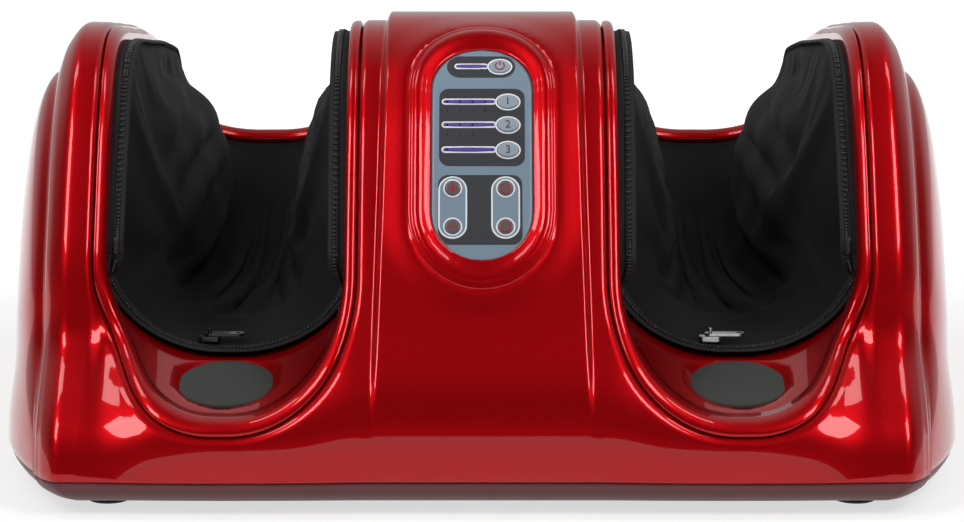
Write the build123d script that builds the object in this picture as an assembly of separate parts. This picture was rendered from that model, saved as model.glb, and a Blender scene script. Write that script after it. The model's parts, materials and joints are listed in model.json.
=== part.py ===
from build123d import *
import math
import os

# Vibrating foot and calf massager, millimetres, +Z up, front towards -Y.
# The origin is on the floor under the middle of the housing.

# Overall sizes
WIDTH = 445.0
DEPTH = 410.0
HEIGHT = 205.0
FOOT_LIFT = 5.0
PARTING_Z = 16.0
WALL = 3.0
HALF_WIDTH = WIDTH / 2
HALF_DEPTH = DEPTH / 2

# Clearances
SEAM_GAP = 0.3
SOFT_GAP = 0.3
OVERRUN = 5.0

# Housing across its width
ARM_OUTER_X = 195.0
ARM_INNER_X = 167.0
ARM_EDGE_DROP = 8.0
CHAMBER_INNER_X = 55.0
CHAMBER_OUTER_X = 173.0
CHAMBER_MIDDLE_X = (CHAMBER_INNER_X + CHAMBER_OUTER_X) / 2
SHOULDER_X = 55.0
CREST_BOTTOM_X = 47.0
CREST_TOP_X = 42.0
CREST_STEP = 4.3
CREST_FLANK = 2.5
POLE_RADIUS = 8.0

# The housing is a fan of cross sections that turn about a line along X
# at the parting height. Each share is a reach from that line, as a share
# of an ellipse through the half depth and the height.
FAN_ANGLES = (0, 6, 12, 18, 27, 37, 47, 57, 65, 75, 90, 107, 121, 133, 145, 157, 169, 180)
COLUMN_SHARES = (0.985, 0.99, 0.98, 0.953, 0.942, 0.962, 1.015, 1.066, 1.066,
                 1.018, 0.99, 1.022, 1.08, 1.09, 1.03, 0.99, 0.99, 0.995)
ARM_SHARES = (0.98, 0.958, 0.892, 0.838, 0.858, 0.894, 0.945, 1.008, 1.036,
              1.0, 0.968, 1.0, 1.045, 1.055, 0.995, 0.965, 0.96, 0.965)
MIDDLE_SHARES = (0.99, 0.99, 0.95, 0.92, 0.92, 0.94, 0.98, 1.03, 1.04,
                 1.0, 0.97, 1.0, 1.05, 1.06, 1.01, 0.995, 0.995, 1.0)
FLANK_SHARES = (0.912, 0.895, 0.845, 0.79, 0.8, 0.84, 0.885, 0.94, 0.965,
                0.935, 0.885, 0.92, 0.96, 0.975, 0.93, 0.905, 0.905, 0.92)
CREST_SHARES = (0.15, 0.25, 0.45, 0.7, 1, 1, 1, 1, 1, 1, 1, 1, 1, 1, 1, 0.8, 0.5, 0.3)
FLANK_RISE_SHARES = (0.35, 0.62, 0.82, 0.94)


def fan_radius(angle):
    """Reach of the guiding ellipse at a fan angle, in degrees."""
    turn = math.radians(angle)
    rise = HEIGHT - PARTING_Z
    across = rise * math.cos(turn)
    up = HALF_DEPTH * math.sin(turn)
    return HALF_DEPTH * rise / math.hypot(across, up)


def fan_plane(angle):
    turn = math.radians(angle)
    facing = (0, -math.sin(turn), -math.cos(turn))
    return Plane(origin=(0, 0, PARTING_Z), x_dir=(1, 0, 0), z_dir=facing)


def crest_x(angle):
    """Half width of the raised middle of the column, narrower at its top."""
    rise = min(max(math.sin(math.radians(angle)), 0), 1)
    return CREST_BOTTOM_X + (CREST_TOP_X - CREST_BOTTOM_X) * rise


def half_section(station, inset):
    """Runs of points (x, reach) from the outer pole to the middle of the column."""
    size = fan_radius(FAN_ANGLES[station])
    arm = size * ARM_SHARES[station] - inset
    column = size * COLUMN_SHARES[station] - inset
    middle = size * MIDDLE_SHARES[station] - inset
    flank = size * FLANK_SHARES[station] - inset
    step = CREST_STEP * CREST_SHARES[station]
    edge_x = ARM_OUTER_X - inset
    swell = HALF_WIDTH - ARM_OUTER_X
    crest = crest_x(FAN_ANGLES[station])
    side = [(edge_x + swell * math.sqrt(1 - share ** 2), flank * share) for share in FLANK_RISE_SHARES]
    pole = (HALF_WIDTH - inset, POLE_RADIUS)
    arm_width = edge_x - ARM_INNER_X
    crown = [
        (edge_x, arm - ARM_EDGE_DROP),
        (edge_x - 0.13 * arm_width, arm - 0.3 * ARM_EDGE_DROP),
        (edge_x - 0.42 * arm_width, arm),
        (ARM_INNER_X + 0.25 * arm_width, arm - 0.06 * ARM_EDGE_DROP),
        (ARM_INNER_X, arm - 0.5 * ARM_EDGE_DROP),
    ]
    return [
        [pole] + side + [(edge_x, flank)],
        [(edge_x, flank), crown[0]],
        crown,
        [crown[-1], (CHAMBER_MIDDLE_X, middle), (SHOULDER_X, column - step)],
        [(SHOULDER_X, column - step), (crest + CREST_FLANK, column - step)],
        [(crest + CREST_FLANK, column - step), (crest, column)],
    ]


def run_edge(points):
    if len(points) == 2:
        return Line(*points)
    return Spline(*points)


def fan_section(station, inset):
    right = half_section(station, inset)
    left = [[(-x, reach) for x, reach in reversed(run)] for run in reversed(right)]
    crest = [(right[-1][-1]), (left[0][0])]
    pole = right[0][0]
    base = [(-pole[0], pole[1]), pole]
    edges = [run_edge(run) for run in right + [crest] + left + [base]]
    return fan_plane(FAN_ANGLES[station]) * make_face(Curve() + edges)


def fan_solid(inset):
    """The whole outside form above the parting line, drawn in by inset."""
    fan = loft([fan_section(station, inset) for station in range(len(FAN_ANGLES))])
    core_length = 2 * (HALF_WIDTH - inset) - SEAM_GAP
    core = Rot(0, 90, 0) * Cylinder(POLE_RADIUS + SEAM_GAP, core_length)
    lower = Pos(0, 0, -HEIGHT / 2) * Box(2 * WIDTH, 2 * DEPTH, HEIGHT)
    return fan + (Pos(0, 0, PARTING_Z) * (core - lower))



# Leg chambers
LIP_Y = -192.0
LIP_Z = 36.0
PLATFORM_REAR_Y = -116.0
PLATFORM_REAR_Z = 56.4
CHAMBER_FLOOR_Z = 62.0
REAR_RIM_Y = 180.0
REAR_RIM_Z = 115.0
CHAMBER_CORNER = 46.0
RIM_WIDTH = 6.0
RIM_DEPTH = 9.0
PLATFORM_SLOPE = (PLATFORM_REAR_Z - LIP_Z) / (PLATFORM_REAR_Y - LIP_Y)
REAR_SLOPE_SHARE = 0.55


def chamber_floor():
    """Side profile of the chamber bottom, as (y, z) from front to back."""
    front_y = -HALF_DEPTH - OVERRUN
    rear_y = HALF_DEPTH + OVERRUN
    rise = REAR_RIM_Z - CHAMBER_FLOOR_Z
    return [
        (front_y, LIP_Z + PLATFORM_SLOPE * (front_y - LIP_Y)),
        (LIP_Y, LIP_Z),
        ((LIP_Y + PLATFORM_REAR_Y) / 2, (LIP_Z + PLATFORM_REAR_Z) / 2),
        (PLATFORM_REAR_Y, PLATFORM_REAR_Z),
        (0.4 * PLATFORM_REAR_Y, CHAMBER_FLOOR_Z),
        (0.4 * REAR_RIM_Y, CHAMBER_FLOOR_Z + 0.05 * rise),
        (0.75 * REAR_RIM_Y, CHAMBER_FLOOR_Z + 0.45 * rise),
        (REAR_RIM_Y, REAR_RIM_Z),
        (rear_y, REAR_RIM_Z + REAR_SLOPE_SHARE * (rear_y - REAR_RIM_Y)),
    ]


def channel_section(y, floor_z, inset, lift):
    """A U open at the top, in the plane at y, drawn in by inset and raised by lift."""
    inner = CHAMBER_INNER_X + inset
    outer = CHAMBER_OUTER_X - inset
    corner = CHAMBER_CORNER - inset
    bottom = floor_z + lift
    top = HEIGHT + CHAMBER_CORNER
    slant = corner * (1 - math.sqrt(0.5))
    edges = [
        Line((inner, top), (inner, bottom + corner)),
        ThreePointArc((inner, bottom + corner), (inner + slant, bottom + slant), (inner + corner, bottom)),
        Line((inner + corner, bottom), (outer - corner, bottom)),
        ThreePointArc((outer - corner, bottom), (outer - slant, bottom + slant), (outer, bottom + corner)),
        Line((outer, bottom + corner), (outer, top)),
        Line((outer, top), (inner, top)),
    ]
    upright = Plane(origin=(0, y, 0), x_dir=(1, 0, 0), z_dir=(0, -1, 0))
    return upright * make_face(Curve() + edges)


def chamber_channel(inset, lift):
    """The right leg chamber as a solid channel through the housing."""
    return loft([channel_section(y, z, inset, lift) for y, z in chamber_floor()])


def front_of(y):
    """A block that holds everything in front of y."""
    return Pos(0, y - DEPTH, HEIGHT / 2) * Box(2 * WIDTH, 2 * DEPTH, 3 * HEIGHT)


def both(right):
    """A piece on the right together with its mirror image on the left."""
    return right + mirror(right, about=Plane.YZ)



def save(name, shape):
    export_step(shape, "parts/" + name + ".step")


def save_pair(name, right):
    """Write a right-hand piece and its mirror image."""
    save("right_" + name, right)
    save("left_" + name, mirror(right, about=Plane.YZ))


def upright_rod(x, y, low, high, radius):
    return Pos(x, y, (low + high) / 2) * Cylinder(radius, high - low)


def cross_rod(low_x, high_x, y, z, radius):
    """A round bar along X."""
    return Pos((low_x + high_x) / 2, y, z) * Rot(0, 90, 0) * Cylinder(radius, high_x - low_x)


def block(low, high):
    """A box between two corners."""
    size = [top - bottom for bottom, top in zip(low, high)]
    middle = [(bottom + top) / 2 for bottom, top in zip(low, high)]
    return Pos(*middle) * Box(*size)


# Control panel
PANEL_Y = -137.4
PANEL_Z = 150.0
PANEL_TILT = 56.9
OVERLAY_WIDTH = 45.4
OVERLAY_LENGTH = 104.0
OVERLAY_THICK = 1.2
OVERLAY_RECESS = 1.5
BEZEL_WIDTH = 66.0
BEZEL_LENGTH = 132.0
BEZEL_HEIGHT = 2.6
PANEL_SEAT = 1.8
PANEL_REACH = 40.0
PANEL_CROWN = 4.4
KEY_RISE = 0.9
KEY_TRAVEL = 0.6
KEY_GAP = 0.25
STEM_RADIUS = 2.2
BOARD_DEPTH = 14.0
BOARD_THICK = 1.6
BOARD_WIDTH = 58.0
BOARD_LENGTH = 96.0
SWITCH_HEIGHT = 4.0
SWITCH_SIDE = 6.0
WINDOW_HEIGHT = 3.2
POWER_KEY = (8.0, 41.9, 12.2, 10.2)
MODE_KEYS = {"mode_1": (11.0, 23.0), "mode_2": (11.0, 11.5), "mode_3": (11.0, -0.5)}
MODE_KEY_SIZE = (11.8, 8.8)
ROUND_KEYS = {"speed_up": (-11.8, -19.4), "speed_down": (-11.8, -36.0),
              "direction_left": (11.8, -19.4), "direction_right": (11.8, -36.0)}
ROUND_KEY_SIZE = 9.0
LAMP_WINDOWS = ((-5.6, 42.2, 14.0), (-6.8, 23.2, 21.0), (-6.8, 11.7, 21.0), (-6.8, -0.3, 21.0))

turn = math.radians(PANEL_TILT)
PANEL = Plane(origin=(0, PANEL_Y, PANEL_Z), x_dir=(1, 0, 0), z_dir=(0, -math.sin(turn), math.cos(turn)))
PROFILE_ANGLES = (21, 27, 33, 39, 45, 51, 57, 62, 66)


def share_at(shares, angle):
    """The share at any fan angle, on the smooth curve through the stations."""
    count = len(FAN_ANGLES)
    after = next(i for i in range(1, count) if angle <= FAN_ANGLES[i])
    before = after - 1
    span = FAN_ANGLES[after] - FAN_ANGLES[before]
    part = (angle - FAN_ANGLES[before]) / span
    slopes = []
    for i in (before, after):
        low = max(i - 1, 0)
        high = min(i + 1, count - 1)
        slopes.append((shares[high] - shares[low]) / (FAN_ANGLES[high] - FAN_ANGLES[low]) * span)
    rise = shares[after] - shares[before]
    bend = slopes[0] * (1 - part) - slopes[1] * part + rise * (2 * part - 1)
    return shares[before] + rise * part + part * (1 - part) * bend


def crest_point(angle, offset):
    """A point (y, z) on the middle of the column, moved out by offset."""
    reach = fan_radius(angle) * share_at(COLUMN_SHARES, angle) + offset
    turn = math.radians(angle)
    return (-reach * math.cos(turn), PARTING_Z + reach * math.sin(turn))


def skin_band(low, high):
    """The layer between two offsets from the column's front, full width."""
    outside = [crest_point(angle, high) for angle in PROFILE_ANGLES]
    inside = [crest_point(angle, low) for angle in PROFILE_ANGLES]
    edges = [
        Spline(*outside),
        Line(outside[-1], inside[-1]),
        Spline(*reversed(inside)),
        Line(inside[0], outside[0]),
    ]
    face = Plane.YZ * make_face(Curve() + edges)
    return extrude(face, amount=PANEL_REACH) + extrude(face, amount=-PANEL_REACH)


def panel_prism(outline, low, high):
    return PANEL * Pos(0, 0, low) * extrude(outline, amount=high - low)


def stadium(width, length):
    return SlotOverall(length, width, rotation=90)


def panel_cut(outline):
    """An outline pushed right through the panel's curved skin."""
    return panel_prism(outline, -PANEL_REACH / 2, PANEL_REACH / 2)


def key_outlines(grow):
    """Each key's name and outline on the panel, made larger by grow."""
    x, y, width, height = POWER_KEY
    outlines = {"power": Pos(x, y) * Ellipse(width / 2 + grow, height / 2 + grow)}
    for name, (x, y) in MODE_KEYS.items():
        width, height = MODE_KEY_SIZE
        outlines[name] = Pos(x, y) * Ellipse(width / 2 + grow, height / 2 + grow)
    for name, (x, y) in ROUND_KEYS.items():
        outlines[name] = Pos(x, y) * Circle(ROUND_KEY_SIZE / 2 + grow)
    return outlines


def key_places():
    places = {"power": POWER_KEY[:2]}
    places.update(MODE_KEYS)
    places.update(ROUND_KEYS)
    return places


def window_outlines(grow):
    shapes = []
    for x, y, length in LAMP_WINDOWS:
        shapes.append(Pos(x, y) * SlotOverall(length + 2 * grow, WINDOW_HEIGHT + 2 * grow))
    return shapes


# Foot pads on the platforms
PAD_RADIUS = 22.0
PAD_THICK = 3.4
PAD_RECESS = 2.0
PAD_GAP = 0.4
PAD_Y = -140.5
PAD_BACKING = 4.0
platform_turn = math.degrees(math.atan(PLATFORM_SLOPE))
PAD_Z = LIP_Z + PLATFORM_SLOPE * (PAD_Y - LIP_Y)
PAD_PLACE = Pos(CHAMBER_MIDDLE_X, PAD_Y, PAD_Z) * Rot(platform_turn, 0, 0)

# Screw bosses and inlet
BOSS_RADIUS = 5.0
BOSS_TOP = 42.0
SCREW_RADIUS = 1.8
SCREW_HOLE = 2.0
SCREW_HEAD = 3.6
SCREW_HEAD_HEIGHT = 2.0
BOSS_X = 198.0
BOSS_Y = 55.0
END_BOSS_Y = 184.0
WEB_THICK = 3.0
INLET_WIDTH = 27.0
INLET_HEIGHT = 20.0
INLET_Z = 40.0
INLET_DEPTH = 24.0
BOSSES = ((BOSS_X, BOSS_Y), (BOSS_X, -BOSS_Y), (-BOSS_X, BOSS_Y), (-BOSS_X, -BOSS_Y),
          (WEB_THICK * 12, END_BOSS_Y), (-WEB_THICK * 12, END_BOSS_Y), (0, -END_BOSS_Y))


def screw_bosses():
    """Pillars for the casing screws, each tied to the nearest wall by a web."""
    bosses = Part()
    for x, y in BOSSES:
        bosses += upright_rod(x, y, PARTING_Z, BOSS_TOP, BOSS_RADIUS)
        if abs(x) == BOSS_X:
            edge = math.copysign(HALF_WIDTH - WALL / 2, x)
            low = (min(x, edge), y - WEB_THICK / 2, PARTING_Z)
            high = (max(x, edge), y + WEB_THICK / 2, BOSS_TOP)
        else:
            edge = math.copysign(HALF_DEPTH, y)
            low = (x - WEB_THICK / 2, min(y, edge), PARTING_Z)
            high = (x + WEB_THICK / 2, max(y, edge), BOSS_TOP)
        bosses += block(low, high)
    for x, y in BOSSES:
        bosses -= upright_rod(x, y, PARTING_Z - OVERRUN, BOSS_TOP - WALL, SCREW_RADIUS)
    return bosses


def upper_housing(outer, channels):
    inner = fan_solid(WALL)
    backing = both(chamber_channel(-WALL, -WALL)) & front_of(PLATFORM_REAR_Y)
    thicken = both(PAD_PLACE * Pos(0, 0, -PAD_BACKING) * Cylinder(PAD_RADIUS + WALL, 2 * PAD_BACKING))
    housing = outer - (inner - backing - thicken)
    housing += (screw_bosses() + board_standoffs()) & fan_solid(WALL / 2)
    housing -= channels
    housing -= both(PAD_PLACE * Cylinder(PAD_RADIUS + PAD_GAP, 2 * PAD_RECESS))
    housing -= skin_band(-PANEL_SEAT, OVERRUN) & panel_cut(stadium(BEZEL_WIDTH + SEAM_GAP, BEZEL_LENGTH + SEAM_GAP))
    for place in key_places().values():
        housing -= panel_cut(Pos(*place) * Circle(STEM_RADIUS + 2 * KEY_GAP))
    inlet = (INLET_WIDTH / 2 + SEAM_GAP, DEPTH, INLET_Z + INLET_HEIGHT / 2 + SEAM_GAP)
    housing -= block((-inlet[0], HALF_DEPTH / 2, INLET_Z - INLET_HEIGHT / 2 - SEAM_GAP), inlet)
    return housing


# Base tray
TRAY_STEPS = ((PARTING_Z - SEAM_GAP, 0.5), (10.0, 4.0), (FOOT_LIFT, 14.0))
TRAY_WALL = 2.5
TRAY_FLOOR_Z = FOOT_LIFT + TRAY_WALL
FOOT_X = 165.0
FOOT_FRONT_Y = -168.0
FOOT_REAR_Y = 160.0
FOOT_RADIUS = 10.0


def base_outline(z, inset):
    """The housing's plan outline at the parting line, drawn in by inset."""
    runs = []
    for station, facing in ((0, -1), (len(FAN_ANGLES) - 1, 1)):
        half = [[(x, facing * reach) for x, reach in run] for run in half_section(station, inset)]
        other = [[(-x, y) for x, y in reversed(run)] for run in reversed(half)]
        ring = half + [[half[-1][-1], other[0][0]]] + other
        if facing == 1:
            ring = [list(reversed(run)) for run in reversed(ring)]
        runs += ring + [[ring[-1][-1], (ring[-1][-1][0], -ring[-1][-1][1])]]
    edges = [run_edge(run) for run in runs]
    return Pos(0, 0, z) * make_face(Curve() + edges)


def base_tray():
    tray = loft([base_outline(z, inset) for z, inset in reversed(TRAY_STEPS)])
    steps = [(TRAY_FLOOR_Z, TRAY_STEPS[2][1] + TRAY_WALL / 2), (TRAY_STEPS[1][0] + WALL / 2, TRAY_STEPS[1][1] + TRAY_WALL),
             (PARTING_Z + WALL, TRAY_WALL)]
    tray -= loft([base_outline(z, inset) for z, inset in steps])
    for x, y in BOSSES:
        tray += upright_rod(x, y, TRAY_FLOOR_Z - TRAY_WALL / 2, PARTING_Z - SEAM_GAP, BOSS_RADIUS)
    for x, y in BOSSES:
        tray -= upright_rod(x, y, 0, PARTING_Z, SCREW_HOLE)
        tray -= upright_rod(x, y, 0, FOOT_LIFT + SCREW_HEAD_HEIGHT + SEAM_GAP, SCREW_HEAD + SEAM_GAP)
    for x, y in foot_places() + deck_screw_places():
        tray -= upright_rod(x, y, 0, PARTING_Z, SCREW_RADIUS)
    return tray + board_posts()


def foot_places():
    return [(x, y) for x in (-FOOT_X, FOOT_X) for y in (FOOT_FRONT_Y, FOOT_REAR_Y)]


def rubber_foot(x, y):
    foot = upright_rod(x, y, 0, FOOT_LIFT, FOOT_RADIUS)
    foot = chamfer(foot.edges().group_by(Axis.Z)[0], FOOT_LIFT / 5)
    foot -= upright_rod(x, y, -OVERRUN, FOOT_LIFT + OVERRUN, SCREW_HOLE)
    return foot - upright_rod(x, y, -OVERRUN, FOOT_LIFT / 2, SCREW_HEAD + SEAM_GAP)


def screw(x, y, head_z, length):
    """A pan-head screw that points up, with the top of its head at head_z."""
    head = upright_rod(x, y, head_z - SCREW_HEAD_HEIGHT, head_z, SCREW_HEAD)
    return head + upright_rod(x, y, head_z, head_z + length, SCREW_RADIUS - SEAM_GAP / 3)


# Chamber rims, zips and liners
ZIP_WIDTH = 2.6
ZIP_DEPTH = 5.0
ZIP_TOP_DEPTH = 1.5
LINER_DEPTH = 7.0
LINER_WALL = 3.5
ZIP_TURN_Y = -164.0
ZIP_TURN_Z = 76.0
ZIP_BEND_Z = 60.0
SLIDER_LENGTH = 10.0
SLIDER_WIDTH = 5.0
SLIDER_TRAVEL = 20.0
PULL_LENGTH = 18.0
PULL_WIDTH = 5.0
PULL_THICK = 1.2
PULL_PIN = 0.9


def side_prism(points):
    """A straight-sided outline in the side view, pushed right across the object."""
    face = Plane.YZ * make_face(Polyline(*points, close=True))
    return extrude(face, amount=WIDTH) + extrude(face, amount=-WIDTH)


def zip_line(shift):
    """The zip's path round the back of the platform, in the side view."""
    return [
        (ZIP_TURN_Y + shift, HEIGHT + OVERRUN),
        (ZIP_TURN_Y + shift, ZIP_TURN_Z),
        (PLATFORM_REAR_Y + shift, ZIP_BEND_Z),
        (PLATFORM_REAR_Y + shift, 0),
    ]


def behind_zip(shift):
    return side_prism(zip_line(shift) + [(DEPTH, 0), (DEPTH, HEIGHT + OVERRUN)])


def chamber_rim():
    skin = fan_solid(SEAM_GAP) - fan_solid(RIM_DEPTH)
    ring = chamber_channel(SEAM_GAP, SEAM_GAP) - chamber_channel(RIM_WIDTH, RIM_WIDTH)
    return (skin & ring & block((0, -DEPTH, 0), (WIDTH, DEPTH, 2 * HEIGHT))).solids().sort_by(SortBy.VOLUME)[-1]


def zip_track():
    """The tape and coil that follow the opening and pass behind the platform."""
    start = RIM_WIDTH + SOFT_GAP
    skin = fan_solid(ZIP_TOP_DEPTH) - fan_solid(ZIP_TOP_DEPTH + ZIP_DEPTH)
    ring = chamber_channel(start, start) - chamber_channel(start + ZIP_WIDTH, start + ZIP_WIDTH)
    cradle = chamber_channel(start, 2 * SOFT_GAP) - chamber_channel(start + ZIP_WIDTH, 2 * SOFT_GAP + ZIP_WIDTH)
    front = (behind_zip(SOFT_GAP) - behind_zip(ZIP_DEPTH)) & fan_solid(RIM_DEPTH + SOFT_GAP)
    return (ring & skin & behind_zip(SOFT_GAP)) + (cradle & front)


# Space for the leg between the padded sides, as shares of the chamber's
# clear half width at each place along the chamber.
LEG_Y_SHARES = (-1.02, -0.78, -0.62, -0.5, -0.36, -0.22, -0.08, 0.06, 0.2, 0.36, 0.52, 0.68, 0.84, 1.02)
LEG_LOW_SHARES = (0.93, 0.93, 0.9, 0.8, 0.68, 0.56, 0.46, 0.42, 0.37, 0.38, 0.34, 0.36, 0.34, 0.36)
LEG_MIDDLE_SHARES = (0.94, 0.94, 0.93, 0.88, 0.8, 0.74, 0.64, 0.6, 0.53, 0.52, 0.46, 0.46, 0.42, 0.42)
LEG_TOP_SHARES = (0.94, 0.94, 0.94, 0.94, 0.94, 0.93, 0.93, 0.92, 0.91, 0.9, 0.86, 0.82, 0.76, 0.72)
FOLD_SHARE = 0.035


def floor_height(y):
    """Height of the chamber bottom at y, between the profile's points."""
    points = chamber_floor()
    for (y0, z0), (y1, z1) in zip(points, points[1:]):
        if y0 <= y <= y1:
            return z0 + (z1 - z0) * (y - y0) / (y1 - y0)
    return points[-1][1]


def leg_section(station):
    y = LEG_Y_SHARES[station] * HALF_DEPTH
    clear = (CHAMBER_OUTER_X - CHAMBER_INNER_X) / 2 - RIM_WIDTH - SOFT_GAP
    low, middle, top = (row[station] * clear for row in (LEG_LOW_SHARES, LEG_MIDDLE_SHARES, LEG_TOP_SHARES))
    fold = FOLD_SHARE * clear * (-1) ** station
    bottom = floor_height(y) + LINER_WALL
    rise = (HEIGHT - bottom) / 4
    half = [
        (top, HEIGHT + OVERRUN),
        (top, HEIGHT - rise / 2),
        (middle + fold, HEIGHT - 1.6 * rise),
        (low - fold, bottom + 1.1 * rise),
        (0.86 * low, bottom + 0.3 * rise),
        (0.5 * low, bottom + 0.04 * rise),
    ]
    right = [(CHAMBER_MIDDLE_X + x, z) for x, z in half]
    left = [(CHAMBER_MIDDLE_X - x, z) for x, z in reversed(half)]
    bowl = right[1:] + [(CHAMBER_MIDDLE_X, bottom)] + left[:-1]
    edges = [Line(right[0], right[1]), Spline(*bowl), Line(left[-2], left[-1]), Line(left[-1], right[0])]
    upright = Plane(origin=(0, y, 0), x_dir=(1, 0, 0), z_dir=(0, -1, 0))
    return upright * make_face(Curve() + edges)


def leg_liner():
    """Padded fabric that lines a chamber, crowned and folded on its sides."""
    start = RIM_WIDTH + SOFT_GAP
    padding = chamber_channel(start, 2 * SOFT_GAP) & fan_solid(RIM_DEPTH + SOFT_GAP)
    padding += chamber_channel(start, start) & fan_solid(LINER_DEPTH)
    padding &= behind_zip(ZIP_DEPTH + SOFT_GAP)
    leg = loft([leg_section(station) for station in range(len(LEG_Y_SHARES))])
    return padding - leg


def foot_pad():
    pad = Pos(0, 0, PAD_THICK / 2 - PAD_RECESS + SEAM_GAP / 2) * Cylinder(PAD_RADIUS, PAD_THICK)
    pad = fillet(pad.edges().group_by(Axis.Z)[-1], PAD_THICK / 4)
    return PAD_PLACE * pad


# Drive: motor, belt, spur gears and the cross shaft under the leg chambers
SHAFT_Y = 10.0
SHAFT_Z = 40.0
SHAFT_RADIUS = 5.0
SHAFT_END_X = 210.0
RUNNING = 0.05
MODULE = 1.5
GEAR_TEETH = 36
PINION_TEETH = 12
GEAR_WIDTH = 12.0
GEAR_X = -18.0
TOOTH_TIP_SHARE = 0.5
TOOTH_ROOT_SHARE = 1.55
TOOTH_DEPTH_SHARE = 1.25
LAY_Z = SHAFT_Z + MODULE * (GEAR_TEETH + PINION_TEETH) / 2
LAY_RADIUS = 4.0
MOTOR_Y = 20.0
MOTOR_Z = 140.0
MOTOR_RADIUS = 24.0
MOTOR_LENGTH = 34.0
MOTOR_SKIN = 1.5
ROTOR_RADIUS = 18.0
MOTOR_SHAFT_RADIUS = 3.0
PULLEY_X = 15.0
BELT_WIDTH = 8.0
BELT_THICK = 2.0
BELT_GAP = 0.3
SMALL_PULLEY_RADIUS = 8.0
LARGE_PULLEY_RADIUS = 24.0
FLANGE = 1.5
FRAME_X = 32.0
FRAME_THICK = 3.0
FRAME_TOP_Z = 172.0
FRAME_FRONT_Y = -34.0
FRAME_REAR_Y = 60.0
DECK_THICK = 2.0
DECK_X = 190.0
DECK_FRONT_Y = -44.0
DECK_REAR_Y = 66.0
OUTER_FRAME_X = 204.0
OUTER_FRAME_TOP_Z = 58.0
OUTER_FRAME_HALF = 18.0
BEARING_RADIUS = 9.0
BEARING_FLANGE = 11.0
LAY_BEARING_RADIUS = 7.0

# Kneading paddles that rock beside the legs
PADDLE_INNER_X = 48.0
PADDLE_OUTER_X = 180.0
PADDLE_THICK = 7.0
PADDLE_FOOT_Z = 16.0
PADDLE_TOP_Z = 162.0
PADDLE_LOW_Z = 96.0
PADDLE_FRONT_Y = -62.0
PADDLE_REAR_Y = 74.0
PADDLE_CORNER = 26.0
PADDLE_NECK = 34.0
PADDLE_SWING = 3.0
PADDLE_BARREL_RADIUS = 5.0
PADDLE_BARREL_HALF = 18.0
PADDLE_PIN_RADIUS = 2.0
PADDLE_LUG_THICK = 3.0
PADDLE_FACE_THICK = 1.5
HUB_RADIUS = 13.0
HUB_LENGTH = 10.0
HUB_SKEW = 4.0
HUB_GAP = 1.2
PADDLE_RING_RADIUS = 21.0
ROLLER_RADIUS = 20.0
ROLLER_LENGTH = 76.0
ROLLER_RIBS = 7
ROLLER_GROOVE = 3.0


def gear(teeth, width, bore):
    """A spur gear about X with plain tapered teeth and one tooth pointing up."""
    pitch = MODULE * teeth / 2
    tip = pitch + MODULE
    root = pitch - TOOTH_DEPTH_SHARE * MODULE
    points = []
    for tooth in range(teeth):
        middle = 2 * math.pi * tooth / teeth + math.pi / 2
        for radius, share, side in ((root, TOOTH_ROOT_SHARE, -1), (tip, TOOTH_TIP_SHARE, -1),
                                    (tip, TOOTH_TIP_SHARE, 1), (root, TOOTH_ROOT_SHARE, 1)):
            angle = middle + side * share * MODULE / 2 / radius
            points.append((radius * math.cos(angle), radius * math.sin(angle)))
    face = make_face(Polyline(*points, close=True)) - Circle(bore)
    return Rot(0, 90, 0) * Rot(0, 0, 90) * extrude(face, amount=width / 2, both=True)


def drive_gear():
    wheel = gear(GEAR_TEETH, GEAR_WIDTH, SHAFT_RADIUS + RUNNING)
    dish = cross_rod(GEAR_WIDTH / 4, GEAR_WIDTH, 0, 0, MODULE * GEAR_TEETH * 0.4)
    hub = cross_rod(0, GEAR_WIDTH, 0, 0, 2 * SHAFT_RADIUS)
    wheel -= (dish + mirror(dish, about=Plane.YZ)) - hub - mirror(hub, about=Plane.YZ)
    return Pos(GEAR_X, SHAFT_Y, SHAFT_Z) * wheel


def lay_pinion():
    pinion = gear(PINION_TEETH, GEAR_WIDTH + FLANGE, LAY_RADIUS + RUNNING)
    half_tooth = 180 / PINION_TEETH
    return Pos(GEAR_X, SHAFT_Y, LAY_Z) * Rot(half_tooth, 0, 0) * pinion


def flat_pulley(radius, bore):
    """A pulley about X with a flange on each side of its belt."""
    half = BELT_WIDTH / 2 + SEAM_GAP
    pulley = cross_rod(-half, half, 0, 0, radius)
    rim = radius + 2 * BELT_THICK
    pulley += cross_rod(half, half + FLANGE, 0, 0, rim)
    pulley += cross_rod(-half - FLANGE, -half, 0, 0, rim)
    return pulley - cross_rod(-WIDTH, WIDTH, 0, 0, bore)


def drive_belt():
    """A flat belt round both pulleys, tangent to each."""
    climb = MOTOR_Z - LAY_Z
    across = MOTOR_Y - SHAFT_Y
    span = math.hypot(climb, across)
    lean = math.atan2(climb, across)
    loops = []
    for offset in (BELT_GAP, BELT_GAP + BELT_THICK):
        low = LARGE_PULLEY_RADIUS + offset
        high = SMALL_PULLEY_RADIUS + offset
        tilt = math.acos((low - high) / span)
        corners = []
        for sign in (1, -1):
            angle = lean + sign * tilt
            reach = (math.cos(angle), math.sin(angle))
            corners.append(((SHAFT_Y + low * reach[0], LAY_Z + low * reach[1]),
                            (MOTOR_Y + high * reach[0], MOTOR_Z + high * reach[1])))
        far = (SHAFT_Y - low * math.cos(lean), LAY_Z - low * math.sin(lean))
        near = (MOTOR_Y + high * math.cos(lean), MOTOR_Z + high * math.sin(lean))
        edges = [
            Line(corners[0][0], corners[0][1]),
            ThreePointArc(corners[0][1], near, corners[1][1]),
            Line(corners[1][1], corners[1][0]),
            ThreePointArc(corners[1][0], far, corners[0][0]),
        ]
        loops.append(extrude(Plane.YZ * make_face(Curve() + edges), amount=BELT_WIDTH / 2, both=True))
    return Pos(PULLEY_X, 0, 0) * (loops[1] - loops[0])


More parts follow.
